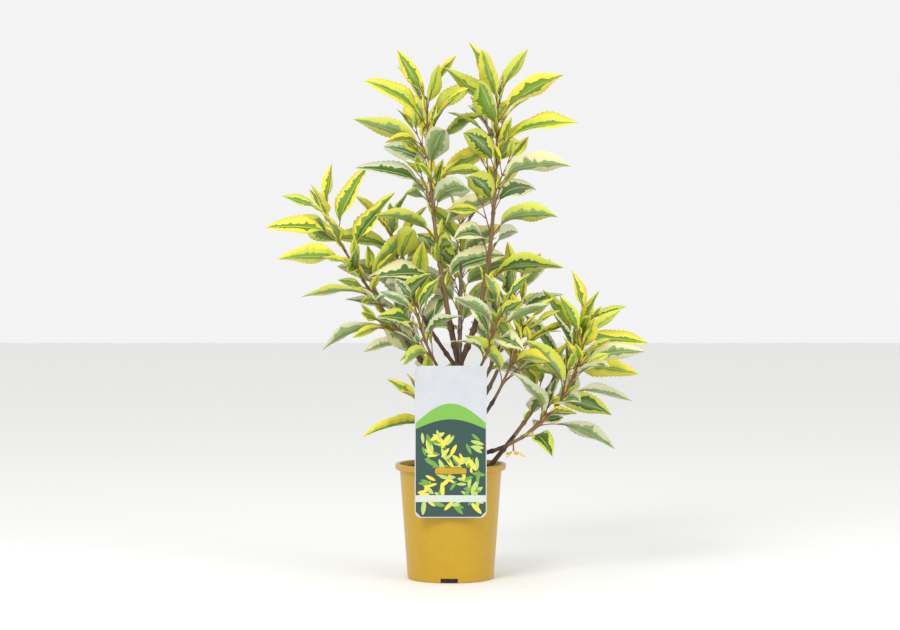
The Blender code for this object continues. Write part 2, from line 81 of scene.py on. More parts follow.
CARD_WIDTH = 95.5 * MM
CARD_HEIGHT = 202 * MM
CARD_THICKNESS = 0.9 * MM
CARD_FRONT_Y = -72 * MM
SLOT_WIDTH = 51 * MM
SLOT_ABOVE_FOOT = 58 * MM
CARD_FOOT = POT_HEIGHT - LIP_HEIGHT - GAP - SLOT_ABOVE_FOOT
CARD_MIDDLE = CARD_FOOT + CARD_HEIGHT / 2
print("label from", round(CARD_FOOT, 4), "to", round(CARD_FOOT + CARD_HEIGHT, 4))

# %% [markdown]
# The trunk is short, leans a little and flares where it meets the soil. Its radius is a plain taper with
# a swelling that dies away upwards, which is how young roots show at a stem's foot.

# %% Trunk
TRUNK_FOOT = Vector((6 * MM, 0, SOIL_TOP_Z + GAP))
TRUNK_LENGTH = 142 * MM
TRUNK_LEAN = 2.2
TRUNK_UPRIGHT = 3 * MM
TRUNK_FOOT_RADIUS = 7.6 * MM
TRUNK_TOP_RADIUS = 6.4 * MM
ROOT_FLARE = 6 * MM
ROOT_FLARE_HEIGHT = 9 * MM


def on_trunk(height):
    """A place on the trunk's axis, this far above the soil."""
    return TRUNK_FOOT + Vector((math.tan(math.radians(TRUNK_LEAN)) * height, 0, height))


def trunk_radius(rise):
    taper = TRUNK_FOOT_RADIUS + (TRUNK_TOP_RADIUS - TRUNK_FOOT_RADIUS) * rise / TRUNK_LENGTH
    return taper + ROOT_FLARE * math.exp(-rise / ROOT_FLARE_HEIGHT)


print("trunk radius at its foot and top", [round(trunk_radius(rise), 4) for rise in (0, TRUNK_LENGTH)])

# %% [markdown]
# Each shoot is one row: where it starts, its compass heading, how it leans at foot and tip and how fast
# it straightens, its length, radius, bare foot and leaf length in millimetres, then the turn of its first
# leaf pair, its age and its seed. A table of driving sizes is easier to read than many curves.

# %% Shoots
Shoot = namedtuple(
    "Shoot",
    "name foot heading lean_foot lean_tip bend length radius bare leaf_length phase age seed",
)
FORK = TRUNK_LENGTH - 5 * MM
ON_SOIL = Vector((54 * MM, 12 * MM, SOIL_TOP_Z + GAP))


def shoot_row(name, foot, heading, lean_foot, lean_tip, bend, length, radius, bare, leaf_length, *others):
    sizes = [size * MM for size in (length, radius, bare, leaf_length)]
    return Shoot(name, foot, heading, lean_foot, lean_tip, bend, *sizes, *others)


SHOOTS = (
    shoot_row("left_leader", on_trunk(FORK), 183, 13, 0, 0.9, 367, 4.2, 62, 117, 24, 0.0, 11),
    shoot_row("right_leader", on_trunk(FORK), -4, 27, 2, 3.0, 377, 4.1, 70, 119, 156, 0.05, 23),
    shoot_row("centre_stub", on_trunk(FORK), 10, 3, -1, 1.0, 141, 2.6, 141, 0, 0, 0, 29),
    shoot_row("inner_left", on_trunk(FORK - 6 * MM), 166, 40, 12, 0.9, 218, 2.9, 92, 100, 20, 0.05, 31),
    shoot_row("far_left", on_trunk(84 * MM), 187, 41, 24, 0.6, 320, 3.4, 112, 108, 4, 0.0, 47),
    shoot_row("far_right", ON_SOIL, 6, 40, 23, 0.6, 238, 3.3, 52, 108, 176, 0.0, 53),
    shoot_row("low_right", on_trunk(13 * MM), -14, 88, 4, 0.95, 262, 3.0, 74, 106, 184, 0.25, 61),
    shoot_row("mid_right", on_trunk(28 * MM), -24, 52, 18, 1.6, 196, 3.0, 88, 96, 30, 0.0, 71),
    shoot_row("right_stub", on_trunk(42 * MM), 12, 42, 24, 1.0, 106, 3.4, 106, 0, 0, 0, 73),
    shoot_row("low_left", on_trunk(27 * MM), 192, 52, 20, 1.0, 77, 2.4, 26, 112, 12, 0.1, 83),
    shoot_row("front_left", on_trunk(96 * MM), 226, 50, 14, 0.9, 158, 2.4, 66, 88, 60, 0.5, 127),
    shoot_row("front_right", on_trunk(88 * MM), -52, 52, 16, 0.9, 168, 2.4, 66, 88, 25, 0.5, 131),
    shoot_row("back_upper", on_trunk(112 * MM), 88, 42, 10, 0.9, 250, 3.2, 74, 102, 40, 0.3, 97),
    shoot_row("back_left", on_trunk(70 * MM), 128, 52, 16, 0.8, 230, 3.0, 84, 100, 70, 0.4, 101),
    shoot_row("back_right", on_trunk(60 * MM), 52, 54, 14, 0.8, 236, 3.0, 84, 100, 55, 0.4, 113),
)
print(len(SHOOTS), "shoots, of which", sum(not shoot.leaf_length for shoot in SHOOTS), "are cut-back stubs")

# %% [markdown]
# A shoot leaves the trunk at a slant and straightens towards the light. Its line is worked out step by
# step from the lean at its foot and at its tip, which gives a natural curve from a few numbers.

# %% Lines and radii of the shoots
LIMB_STEPS = 14
SHOOT_TIP_RADIUS = 1.1 * MM
STUB_TIP_SHARE = 0.7
TAPER_POWER = 1.1


def shoot_line(shoot):
    """The points of a shoot, from its foot to its tip."""
    side = Vector((math.cos(math.radians(shoot.heading)), math.sin(math.radians(shoot.heading)), 0))
    points = [Vector(shoot.foot)]
    for step in range(LIMB_STEPS):
        left = 1 - (step + 0.5) / LIMB_STEPS
        lean = math.radians(shoot.lean_tip + (shoot.lean_foot - shoot.lean_tip) * left**shoot.bend)
        stride = (side * math.sin(lean) + UP * math.cos(lean)) * (shoot.length / LIMB_STEPS)
        points.append(points[-1] + stride)
    return points


def along(points, distance):
    """The place and the direction at this distance along a line of points."""
    for first, second in zip(points, points[1:]):
        span = (second - first).length
        if distance <= span or second is points[-1]:
            return first + (second - first) * (distance / span), (second - first).normalized()
        distance -= span


def shoot_radius(shoot, distance):
    """The shoot's radius, thinner towards its tip."""
    tip = min(SHOOT_TIP_RADIUS, shoot.radius) if shoot.leaf_length else shoot.radius * STUB_TIP_SHARE
    return shoot.radius + (tip - shoot.radius) * (distance / shoot.length) ** TAPER_POWER


def square_to(axis, turn):
    """A direction square to axis, turned round it by this many degrees from the crown's width."""
    base = Vector((1, 0, 0)) - axis * axis.x
    return Quaternion(axis, math.radians(turn)) @ base.normalized()


print("highest shoot tip", round(max(shoot_line(shoot)[-1].z for shoot in SHOOTS), 4))

# %% [markdown]
# Where leaves can grow depends on what is already there, so limbs are first drawn plainly, with few
# sides. Rings of points are joined into a closed form, which a search tree can test.

# %% Plain limbs
LIMB_SIDES = 6
END_CLEAR = 2 * MM
UPRIGHT_ON_SOIL = 2 * MM
Limb = namedtuple("Limb", "points radii")
Form = namedtuple("Form", "points faces")


def whole_limb(shoot):
    points = shoot_line(shoot)
    step = shoot.length / LIMB_STEPS
    inner = [i * step for i in range(1, LIMB_STEPS) if END_CLEAR < i * step < shoot.length - END_CLEAR]
    distances = [0, *inner, shoot.length]
    radii = [shoot_radius(shoot, distance) for distance in distances]
    kept = [along(points, distance)[0] for distance in distances]
    if shoot.foot is ON_SOIL:
        kept.insert(1, kept[0] + UP * UPRIGHT_ON_SOIL)
        radii.insert(1, radii[0])
    return Limb(kept, radii)


def trunk_limb():
    """The trunk, upright for its first few millimetres, so that its cut lies flat on the soil."""
    points = [TRUNK_FOOT.copy(), TRUNK_FOOT + UP * TRUNK_UPRIGHT]
    for step in range(1, LIMB_STEPS + 1):
        points.append(on_trunk(TRUNK_UPRIGHT + (TRUNK_LENGTH - TRUNK_UPRIGHT) * step / LIMB_STEPS))
    return Limb(points, [trunk_radius(point.z - TRUNK_FOOT.z) for point in points])


def lofted(rings, tip=None):
    """Joins rings of points into a closed form, with flat ends or ending in a point.

    The diagonals alternate, so that a leaf's upper and lower faces bend along the same lines.
    """
    count = len(rings[0])
    points = [point for ring in rings for point in ring]
    faces = []
    for r in range(len(rings) - 1):
        for i in range(count):
            a, b = r * count + i, r * count + (i + 1) % count
            c, d = b + count, a + count
            faces += [(a, b, d), (b, c, d)] if i % 2 else [(a, b, c), (a, c, d)]
    faces.append(tuple(reversed(range(count))))
    last = (len(rings) - 1) * count
    if tip is None:
        faces.append(tuple(range(last, last + count)))
    else:
        points.append(tip)
        faces += [(last + i, last + (i + 1) % count, len(points) - 1) for i in range(count)]
    return Form(points, faces)


def limb_form(limb, sides, swell=0.0):
    rings = []
    for i, (place, radius) in enumerate(zip(limb.points, limb.radii)):
        way = (limb.points[min(i + 1, len(limb.points) - 1)] - limb.points[max(i - 1, 0)]).normalized()
        rings.append([place + square_to(way, 360 * k / sides) * (radius + swell) for k in range(sides)])
    return lofted(rings)


# %% [markdown]
# A leaf leaves its twig steeply on a stalk and then arches over. Its spine is followed in small steps,
# and each step knows its direction and which way the upper side faces. A leaf whose twig would point it
# down lifts itself back towards level, and all leaves turn their upper side a little to the sky.

# %% Leaf spines
PETIOLE_SHARE = 0.2
LEAF_FOOT_PITCH = math.radians(34)
SPINE_STEPS = 24
SETTLED_AT = 0.5
SKY_TURN = 0.35
SKY_TURN_BY = 0.4
LEVEL = -0.12
LEVEL_GIVE = 0.35
Leaf = namedtuple("Leaf", "root axis out length width pitch droop twist fold age")


def ease(value):
    """Rises smoothly from 0 to 1, with level ends."""
    value = min(max(value, 0.0), 1.0)
    return value * value * (3 - 2 * value)


def leaf_spine(leaf):
    """Places, directions and upper-side normals along a leaf, from its root to its tip."""
    place = leaf.root.copy()
    spine = []
    for step in range(SPINE_STEPS + 1):
        t = step / SPINE_STEPS
        pitch = LEAF_FOOT_PITCH + (leaf.pitch - LEAF_FOOT_PITCH) * ease(t / SETTLED_AT)
        way = leaf.axis * math.cos(pitch) + leaf.out * math.sin(pitch)
        normal = leaf.axis * math.sin(pitch) - leaf.out * math.cos(pitch)
        way.z = way.z if way.z > LEVEL else LEVEL + (way.z - LEVEL) * LEVEL_GIVE
        way = (way - UP * leaf.droop * t * t).normalized()
        normal = normal.lerp(UP, SKY_TURN * ease(t / SKY_TURN_BY))
        normal = (normal - way * normal.dot(way)).normalized()
        normal = Quaternion(way, leaf.twist * ease(t / SETTLED_AT)) @ normal
        spine.append((place.copy(), way, normal))
        place = place + way * (leaf.length / SPINE_STEPS)
    return spine


# %% [markdown]
# The blade is widest a little below its middle and runs out to a point. A plain form of it, with four
# stations and folded along the midrib, is enough to test what it would touch.

# %% Plain leaves
LEAF_STATIONS = (0.0, 0.19, 0.48, 0.8)
LEAF_THICKNESS_SHARE = 0.013
THINNER_AT_TIP = 0.55
LEAST_HALF_THICK = 0.35 * MM
PETIOLE_RADIUS = 0.9 * MM
PETIOLE_FLATTENED = 0.9
WIDEST_FORWARD = 0.8
OUTLINE_FULLNESS = 0.9


def blade_width(u):
    """A leaf's width, as a share of its widest, from 0 at the blade's foot to 1 at its tip."""
    return max(math.sin(math.pi * min(max(u, 0.0), 1.0) ** WIDEST_FORWARD), 0.0) ** OUTLINE_FULLNESS


def leaf_form(leaf, swell=0.0, first_station=0):
    """A thin closed blade: each station has the midrib's top and back and the two edges."""
    spine = leaf_spine(leaf)
    rings = []
    for t in LEAF_STATIONS[first_station:]:
        place, way, normal = spine[round(t * SPINE_STEPS)]
        u = (t - PETIOLE_SHARE) / (1 - PETIOLE_SHARE)
        half = max(leaf.width / 2 * blade_width(u), PETIOLE_RADIUS * PETIOLE_FLATTENED) + swell
        thick = max(LEAF_THICKNESS_SHARE * leaf.length * (1 - THINNER_AT_TIP * t) / 2, LEAST_HALF_THICK)
        top = normal * ((PETIOLE_RADIUS if u <= 0 else thick) + swell)
        fold = leaf.fold if u > 0 else 0.0
        lift = normal * half * math.sin(fold)
        across = way.cross(normal) * half * math.cos(fold)
        rings.append((place + top, place + across + lift, place - top, place - across + lift))
    return lofted(rings, spine[-1][0] + spine[-1][1] * swell)


# %% [markdown]
# A new leaf keeps clear of everything that grew before it. A form is kept as its search tree and its
# box: two boxes that lie apart are told at once, and only near pairs are searched.

# %% Keeping leaves apart
CLEARANCE = 0.6 * MM
Solid = namedtuple("Solid", "tree low high")


def solid_of(form):
    low = Vector([min(point[i] for point in form.points) for i in range(3)])
    high = Vector([max(point[i] for point in form.points) for i in range(3)])
    return Solid(BVHTree.FromPolygons(form.points, form.faces), low, high)


def touches_any(one, others):
    for other in others:
        if any(one.low[i] > other.high[i] or other.low[i] > one.high[i] for i in range(3)):
            continue
        if one.tree.overlap(other.tree):
            return True
    return False


def standing_solids():
    """What is there before any leaf: the trunk, the label, the pot and every shoot."""
    half_x, half_z = CARD_WIDTH / 2, CARD_HEIGHT / 2
    corners = [[Vector((x, CARD_FRONT_Y + y, CARD_MIDDLE + z)) for x, y in (
        (-half_x, -CARD_THICKNESS), (half_x, -CARD_THICKNESS), (half_x, CARD_THICKNESS),
        (-half_x, CARD_THICKNESS))] for z in (-half_z, half_z)]
    pot = Limb([Vector((0, 0, 0)), Vector((0, 0, POT_HEIGHT))], [RIM_RADIUS, RIM_RADIUS])
    standing = {"trunk": solid_of(limb_form(trunk_limb(), LIMB_SIDES)), "label": solid_of(lofted(corners)),
                "pot": solid_of(limb_form(pot, POT_SIDES))}
    for shoot in SHOOTS:
        standing[shoot.name] = solid_of(limb_form(whole_limb(shoot), LIMB_SIDES))
    return standing


# %% [markdown]
# Every leaf is a little different. The riper it is, the further it leans out, and the older, the more it
# hangs. Each blade also rolls about its length, as leaves that seek light do. The draw shows the lower
# side of about two in three large leaves to the front. It has to be that of the solids, so it stays.

# %% One leaf
LEAF_WIDTH_SHARE = 0.31
ROOT_OUT = 0.4 * MM
TURN_GIVE = 12
LENGTH_RANGE = (0.88, 1.08)
WIDTH_RANGE = (0.88, 1.12)
PITCH_YOUNG, PITCH_RIPE, PITCH_OLD, PITCH_GIVE = 26, 36, 10, 8
DROOP_YOUNG, DROOP_RIPE, DROOP_OLD = 0.05, 0.2, 0.25
DROOP_RANGE = (0.3, 1.6)
ROLL_RANGE = (28, 66)
ROLL_ONE_WAY = 0.72
FOLD_RANGE = (14, 32)


def roll(out, chance):
    """How far a blade rolls about its length, in degrees. Its sense depends on the side of the shoot."""
    size = chance.uniform(*ROLL_RANGE)
    sense = -1 if chance.random() < ROLL_ONE_WAY else 1
    return size * sense * (1 if out.x > 0 else -1)


def new_leaf(place, axis, turn, length, ripe, old, age, chance):
    out = square_to(axis, turn + chance.uniform(-TURN_GIVE, TURN_GIVE))
    length *= chance.uniform(*LENGTH_RANGE)
    width = length * LEAF_WIDTH_SHARE * chance.uniform(*WIDTH_RANGE)
    pitch = PITCH_YOUNG + PITCH_RIPE * ripe + PITCH_OLD * old + chance.uniform(-PITCH_GIVE, PITCH_GIVE)
    droop = (DROOP_YOUNG + DROOP_RIPE * ripe + DROOP_OLD * old) * chance.uniform(*DROOP_RANGE)
    twist = math.radians(roll(out, chance))
    fold = math.radians(chance.uniform(*FOLD_RANGE))
    root = place + out * ROOT_OUT
    return Leaf(root, axis, out, length, width, math.radians(pitch), droop, twist, fold, age)


# %% [markdown]
# A leaf that would touch something is tried again, turned round its twig and dipped by a few degrees,
# and is left out where no turn clears it. Leaves stand in opposite pairs.

# %% A pair of leaves
TURNS = ((0, 0), (12, -6), (-12, 6), (22, 10), (-22, -12), (35, 0), (-35, 0), (8, 22), (-8, -22))


def turned(leaf, turn, dip):
    out = Quaternion(leaf.axis, math.radians(turn)) @ leaf.out
    root = leaf.root + (out - leaf.out) * ROOT_OUT
    return leaf._replace(root=root, out=out, pitch=leaf.pitch + math.radians(dip))


def fitted(leaf, own, others):
    """The first turn of the leaf that clears everything near it, with its solid, or nothing."""
    for turn, dip in TURNS:
        tried = turned(leaf, turn, dip)
        whole = solid_of(leaf_form(tried, CLEARANCE))
        if touches_any(whole, others):
            continue
        if not touches_any(solid_of(leaf_form(tried, CLEARANCE, 1)), own):
            return tried, whole
    return None


def grow_pair(place, axis, turn, length, ripe, old, age, chance, own, others):
    """Up to two leaves, one on each side of their twig. Adds their solids to own."""
    found = []
    for half in range(2):
        leaf = new_leaf(place, axis, turn + 180 * half, length, ripe, old, age, chance)
        found.append(fitted(leaf, own, others))
    found = [pair for pair in found if pair]
    own += [solid for _, solid in found]
    return [leaf for leaf, _ in found]


# %% [markdown]
# Older leaf pairs bear short side twigs in their axils. Each has two pairs of small leaves: one near its
# tip, a quarter turn from the other at its middle.

# %% Side twigs
TWIG_PITCH = math.radians(23)
TWIG_RADIUS = 1.0 * MM
TWIG_SIDES = 3
TWIG_LENGTHS = (26, 50)
TWIG_TAPER = (1, 0.85, 0.7)
TWIG_FOOT_FREE = 9 * MM
TWIG_PAIRS = ((0.96, 90, 0.4, 0.3), (0.55, 0, 0.52, 0.8))


def grow_twig(shoot, place, axis, turn, age, chance, own, others):
    """A short side twig and its leaves, or nothing where there is no room."""
    out = square_to(axis, turn)
    way = (axis * math.cos(TWIG_PITCH) + out * math.sin(TWIG_PITCH)).normalized()
    length = chance.uniform(*TWIG_LENGTHS) * MM
    root = place + out * ROOT_OUT
    points = [root, root + way * length * 0.5, root + way * length]
    twig = Limb(points, [TWIG_RADIUS * share for share in TWIG_TAPER])
    clear = Limb([root + way * TWIG_FOOT_FREE, *points[1:]], twig.radii)
    solid = solid_of(limb_form(clear, TWIG_SIDES, CLEARANCE))
    if touches_any(solid, own) or touches_any(solid, others):
        return None, []
    kept = []
    for share, quarter, size, ripe in TWIG_PAIRS:
        kept += grow_pair(root + way * length * share, way, turn + quarter, shoot.leaf_length * size, ripe, 0,
                          age, chance, own, others)
    own.append(solid)
    return twig, kept


# %% [markdown]
# One wilted flower is left. Its narrow petals hang from a short stalk under the low right shoot, and
# they are leaves of another size and set.

# %% Flower
FLOWER_SHOOT = "low_right"
FLOWER_ALONG = 84 * MM
FLOWER_STALK = 12 * MM
FLOWER_DOWN = Vector((0.12, -0.1, -1)).normalized()
PETAL_LENGTH = 21 * MM
PETAL_WIDTH = 5.5 * MM
PETAL_SHORTER = 0.06
PETAL_BACK = 1.5 * MM
STALK_THICKER = 1.2
PETAL_TURNS = (10, 75, 150, 230)
PETAL_PITCHES = (40, 74, 40, 74)
PETAL_SHAPE = {"droop": 0.25, "twist": 0.5, "fold": 0.3, "age": 0.5}


def grow_petals(points, own):
    """The flower's stalk and petals, hanging from the shoot."""
    root, _ = along(points, FLOWER_ALONG)
    foot = root - UP * FLOWER_STALK
    stalk = Limb([root - UP * ROOT_OUT, foot], [TWIG_RADIUS, TWIG_RADIUS * STALK_THICKER])
    petals = []
    for index, (turn, pitch) in enumerate(zip(PETAL_TURNS, PETAL_PITCHES)):
        petals.append(Leaf(
            root=foot - FLOWER_DOWN * PETAL_BACK, axis=FLOWER_DOWN, out=square_to(FLOWER_DOWN, turn),
            length=PETAL_LENGTH * (1 - PETAL_SHORTER * index), width=PETAL_WIDTH,
            pitch=math.radians(pitch), **PETAL_SHAPE,
        ))
    own += [solid_of(leaf_form(petal, CLEARANCE)) for petal in petals]
    return stalk, petals


# %% [markdown]
# Pairs are closest together at the tip, and each stands a quarter turn from the last. Leaves ripen over
# the first few pairs and age below them. The seeds are those of the solids, so the leaves are the same.

# %% Growing the plant
TIP_CLEAR = 3 * MM
BARE_CLEAR = 6 * MM
TIP_INTERNODE = 18 * MM
INTERNODE_GROWTH = 1.08
PAIR_TURN = 90
RIPE_START, RIPE_PAIRS = 0.9, 3.2
OLD_FROM, OLD_PAIRS = 3, 6
AGE_PER_PAIR = 0.07
YOUNGEST_SIZE = 0.5
TWIG_FROM_PAIR = 3
TWIG_CHANCE = 0.7
TWIG_YOUTH = 0.35
Growth = namedtuple("Growth", "leaves twigs petals")


def pair_distances(shoot):
    """Distances along a shoot of its leaf pairs, from its tip down to where it is bare."""
    distances = []
    distance = shoot.length - TIP_CLEAR
    step = TIP_INTERNODE
    while distance > shoot.bare + BARE_CLEAR:
        distances.append(distance)
        distance -= step
        step *= INTERNODE_GROWTH
    return distances


def grow_shoot(shoot, own, others):
    """A shoot's leaves, side twigs and petals. Adds their solids to own."""
    chance = random.Random(shoot.seed)
    points = shoot_line(shoot)
    growth = Growth([], [], [])
    if shoot.name == FLOWER_SHOOT:
        stalk, petals = grow_petals(points, own)
        growth.twigs.append(stalk)
        growth.petals.extend(petals)
    sites = [(index, *along(points, distance)) for index, distance in enumerate(pair_distances(shoot))]
    for index, place, axis in sites:
        ripe = min((index + RIPE_START) / RIPE_PAIRS, 1.0)
        old = min(max((index - OLD_FROM) / OLD_PAIRS, 0.0), 1.0)
        age = min(shoot.age + AGE_PER_PAIR * index, 1.0)
        length = shoot.leaf_length * (YOUNGEST_SIZE + (1 - YOUNGEST_SIZE) * ripe)
        turn = shoot.phase + PAIR_TURN * index
        growth.leaves.extend(grow_pair(place, axis, turn, length, ripe, old, age, chance, own, others))
    for index, place, axis in sites[TWIG_FROM_PAIR:]:
        age = max(shoot.age + AGE_PER_PAIR * index - TWIG_YOUTH, 0.0)
        for half in range(2):
            if chance.random() > TWIG_CHANCE:
                continue
            turn = shoot.phase + PAIR_TURN * index + 180 * half
            twig, leaves = grow_twig(shoot, place, axis, turn, age, chance, own, others)
            if twig:
                growth.twigs.append(twig)
                growth.leaves.extend(leaves)
    return growth


# %% [markdown]
# Shoots grow one after another. Each keeps clear of the trunk, the label, the pot, the other stems and
# all leaves that came before it, so the order of the table matters.

# %% Every shoot in turn
standing = standing_solids()
done = []
GROWN = {}
for shoot in SHOOTS:
    if shoot.leaf_length:
        others = done + [solid for name, solid in standing.items() if name != shoot.name]
        own = [standing[shoot.name]]
        GROWN[shoot.name] = grow_shoot(shoot, own, others)
        done += own[1:]
print(sum(len(growth.leaves) for growth in GROWN.values()), "leaves on", len(GROWN), "leafy shoots")

# %% [markdown]
# A piece is a mesh with its materials and a body that it moves with. Meshes shaped by bmesh get their
# faces turned outwards first. Meshes from lists of points serve only what repeats hundreds of times.

# %% Placing a piece
def place_piece(name, mesh, looks, slot, *nodes):
    """A finished piece at the origin, which rides on the plant's one body and stands for these nodes."""
    piece = bpy.data.objects.new(name, mesh)
    bpy.context.collection.objects.link(piece)
    for look in looks:
        mesh.materials.append(look)
    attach(piece, "root")
    if nodes:
        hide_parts(*nodes)
    print(name, len(mesh.polygons), "faces")
    return piece


def mesh_of(shape, name, smooth=True):
    bmesh.ops.recalc_face_normals(shape, faces=shape.faces)
    mesh = bpy.data.meshes.new(name)
    shape.to_mesh(mesh)
    shape.free()
    mesh.polygons.foreach_set("use_smooth", [smooth] * len(mesh.polygons))
    return mesh


def joined_mesh(name, points, faces, tones):
    mesh = bpy.data.meshes.new(name)
    mesh.from_pydata(points, [], faces)
    mesh.polygons.foreach_set("material_index", tones)
    mesh.polygons.foreach_set("use_smooth", [True] * len(faces))
    return mesh


# %% [markdown]
# Every real surface has some grain in its gloss and its relief. One node group makes that grain from
# noise, so each material only gives its own scale and strength.

# %% A group of nodes for surface grain
GRAIN_SOCKETS = (
    ("Vector", "INPUT"), ("Scale", "INPUT"), ("Low", "INPUT"), ("High", "INPUT"), ("Height", "INPUT"),
    ("Roughness", "OUTPUT"), ("Normal", "OUTPUT"), ("Mask", "OUTPUT"),
)
VECTOR_SOCKETS = ("Vector", "Normal")
GRAIN_DETAIL = 6
GRAIN_ROUGHNESS = 0.62
GRAIN_SPREAD = (0.3, 0.7)


def grain_group():
    group = bpy.data.node_groups.new("surface_grain", "ShaderNodeTree")
    for name, way in GRAIN_SOCKETS:
        kind = "NodeSocketVector" if name in VECTOR_SOCKETS else "NodeSocketFloat"
        group.interface.new_socket(name, in_out=way, socket_type=kind)
    given = group.nodes.new("NodeGroupInput").outputs
    made = group.nodes.new("NodeGroupOutput").inputs
    cloud = group.nodes.new("ShaderNodeTexNoise")
    spread = group.nodes.new("ShaderNodeMapRange")
    bump = group.nodes.new("ShaderNodeBump")
    cloud.inputs["Detail"].default_value = GRAIN_DETAIL
    cloud.inputs["Roughness"].default_value = GRAIN_ROUGHNESS
    spread.inputs["From Min"].default_value, spread.inputs["From Max"].default_value = GRAIN_SPREAD
    for source, target in (
        (given["Vector"], cloud.inputs["Vector"]), (given["Scale"], cloud.inputs["Scale"]),
        (cloud.outputs["Fac"], spread.inputs["Value"]), (given["Low"], spread.inputs["To Min"]),
        (given["High"], spread.inputs["To Max"]), (cloud.outputs["Fac"], bump.inputs["Height"]),
        (given["Height"], bump.inputs["Distance"]), (spread.outputs["Result"], made["Roughness"]),
        (bump.outputs["Normal"], made["Normal"]), (cloud.outputs["Fac"], made["Mask"]),
    ):
        group.links.new(source, target)
    return group


GRAIN = grain_group()
print(GRAIN.name, len(GRAIN.nodes), "nodes")

# %% [markdown]
# A finish is the grain group between a layout and a Principled shader. Given a second colour, the grain
# also moves the colour between the two, as on bark, soil and moulded plastic.

# %% Finishes
RAMP_ENDS = (0.36, 0.64)


def finish(name, colour, gloss, scale, height, other=None, stretch=(1, 1, 1), layout=None, coat=0.0):
    """A material. Gloss is its lowest and highest roughness, layout a UV map to read instead of space."""
    material = bpy.data.materials.new(name)
    material.use_nodes = True
    nodes, links = material.node_tree.nodes, material.node_tree.links
    shader = nodes["Principled BSDF"]
    shader.inputs["Base Color"].default_value = (*colour, 1)
    shader.inputs["Coat Weight"].default_value = coat
    if layout:
        source = nodes.new("ShaderNodeUVMap")
        source.uv_map = layout
        where = source.outputs["UV"]
    else:
        where = nodes.new("ShaderNodeTexCoord").outputs["Object"]
    mapping = nodes.new("ShaderNodeMapping")
    mapping.inputs["Scale"].default_value = stretch
    grain = nodes.new("ShaderNodeGroup")
    grain.node_tree = GRAIN
    for socket, value in (("Scale", scale), ("Low", gloss[0]), ("High", gloss[1]), ("Height", height)):
        grain.inputs[socket].default_value = value
    links.new(where, mapping.inputs["Vector"])
    links.new(mapping.outputs["Vector"], grain.inputs["Vector"])
    links.new(grain.outputs["Roughness"], shader.inputs["Roughness"])
    links.new(grain.outputs["Normal"], shader.inputs["Normal"])
    if other:
        ramp = nodes.new("ShaderNodeValToRGB")
        for end, position, tint in zip(ramp.color_ramp.elements, RAMP_ENDS, (colour, other)):
            end.position = position
            end.color = (*tint, 1)
        links.new(grain.outputs["Mask"], ramp.inputs["Fac"])
        links.new(ramp.outputs["Color"], shader.inputs["Base Color"])
    return material


# %% [markdown]
# A variegated leaf has a bright margin and a green middle that runs out towards the edge in flames. The
# real border is sharp, so each blade is cut along it and its strips get plain colours, which stay crisp
# from every side. Young leaves are yellow and green, older ones cream and grey-green, and the lower side
# is paler. Gloss and relief read a layout that all leaves share.

# %% Leaf colours
LAYOUT = "OFBake"
TONES = {
    "yellow": (0.80, 0.70, 0.05), "lime": (0.58, 0.62, 0.06), "green": (0.14, 0.27, 0.018),
    "deep_green": (0.04, 0.115, 0.008), "young_rib": (0.52, 0.56, 0.1), "young_back": (0.46, 0.55, 0.12),
    "cream": (0.72, 0.68, 0.36), "grey_white": (0.58, 0.60, 0.38), "sage": (0.26, 0.36, 0.13),
    "old_green": (0.065, 0.15, 0.02), "old_rib": (0.42, 0.48, 0.2), "old_back": (0.40, 0.46, 0.24),
    "young_under": (0.2, 0.34, 0.04), "old_under": (0.17, 0.28, 0.08), "petal": (0.85, 0.62, 0.04),
}
TONE_NAMES = list(TONES)
LEAF_LOOKS = [finish("leaf_" + name, colour, (0.34, 0.6), 26, 0.00012, stretch=(3, 9, 1), layout=LAYOUT)
              for name, colour in TONES.items()]
Look = namedtuple("Look", "margin middle core rib back under")
YOUNG = Look(("yellow", "yellow", "lime"), ("green", "green", "lime"), ("deep_green", "green"),
             "young_rib", "young_back", "young_under")
OLD = Look(("cream", "grey_white", "lime"), ("sage", "old_green"), ("old_green", "deep_green"),
           "old_rib", "old_back", "old_under")
PETAL = Look(("petal",), ("petal",), ("petal",), "petal", "petal", "petal")
print(len(LEAF_LOOKS), "leaf tones")

# %% [markdown]
# The border between margin and green is a ragged line, drawn anew for each half of each leaf. It wanders
# about a middle reach, with a flame here and there, and draws in towards the tip.

# %% The border in a leaf
BLADE_STATIONS = 30
REACH_RANGE = (0.4, 0.68)
REACH_KEPT = 0.62
REACH_GIVE = 0.17
FLAME_CHANCE = 0.2
FLAME_RANGE = (0.1, 0.3)
TIP_DRAWN_IN = 0.55
REACH_LIMITS = (0.2, 0.93)


def border_line(chance, base):
    """How far the green reaches across the half blade at each station."""
    line = []
    reach = base
    for station in range(BLADE_STATIONS):
        u = station / (BLADE_STATIONS - 1)
        reach = REACH_KEPT * reach + (1 - REACH_KEPT) * base + chance.uniform(-REACH_GIVE, REACH_GIVE)
        flame = chance.uniform(*FLAME_RANGE) if chance.random() < FLAME_CHANCE else 0
        drawn = (reach + flame) * (1 - TIP_DRAWN_IN * u * u)
        line.append(min(max(drawn, REACH_LIMITS[0]), REACH_LIMITS[1]))
    return line


# %% [markdown]
# The fine blade follows the same spine as the plain one, with many more stations. Both edges are toothed
# from about a third of the way up, the midrib has its fold, and each half waves. A bump map could not
# change the outline, so all of that is in the mesh. The shell is thin and closed, and not see-through.

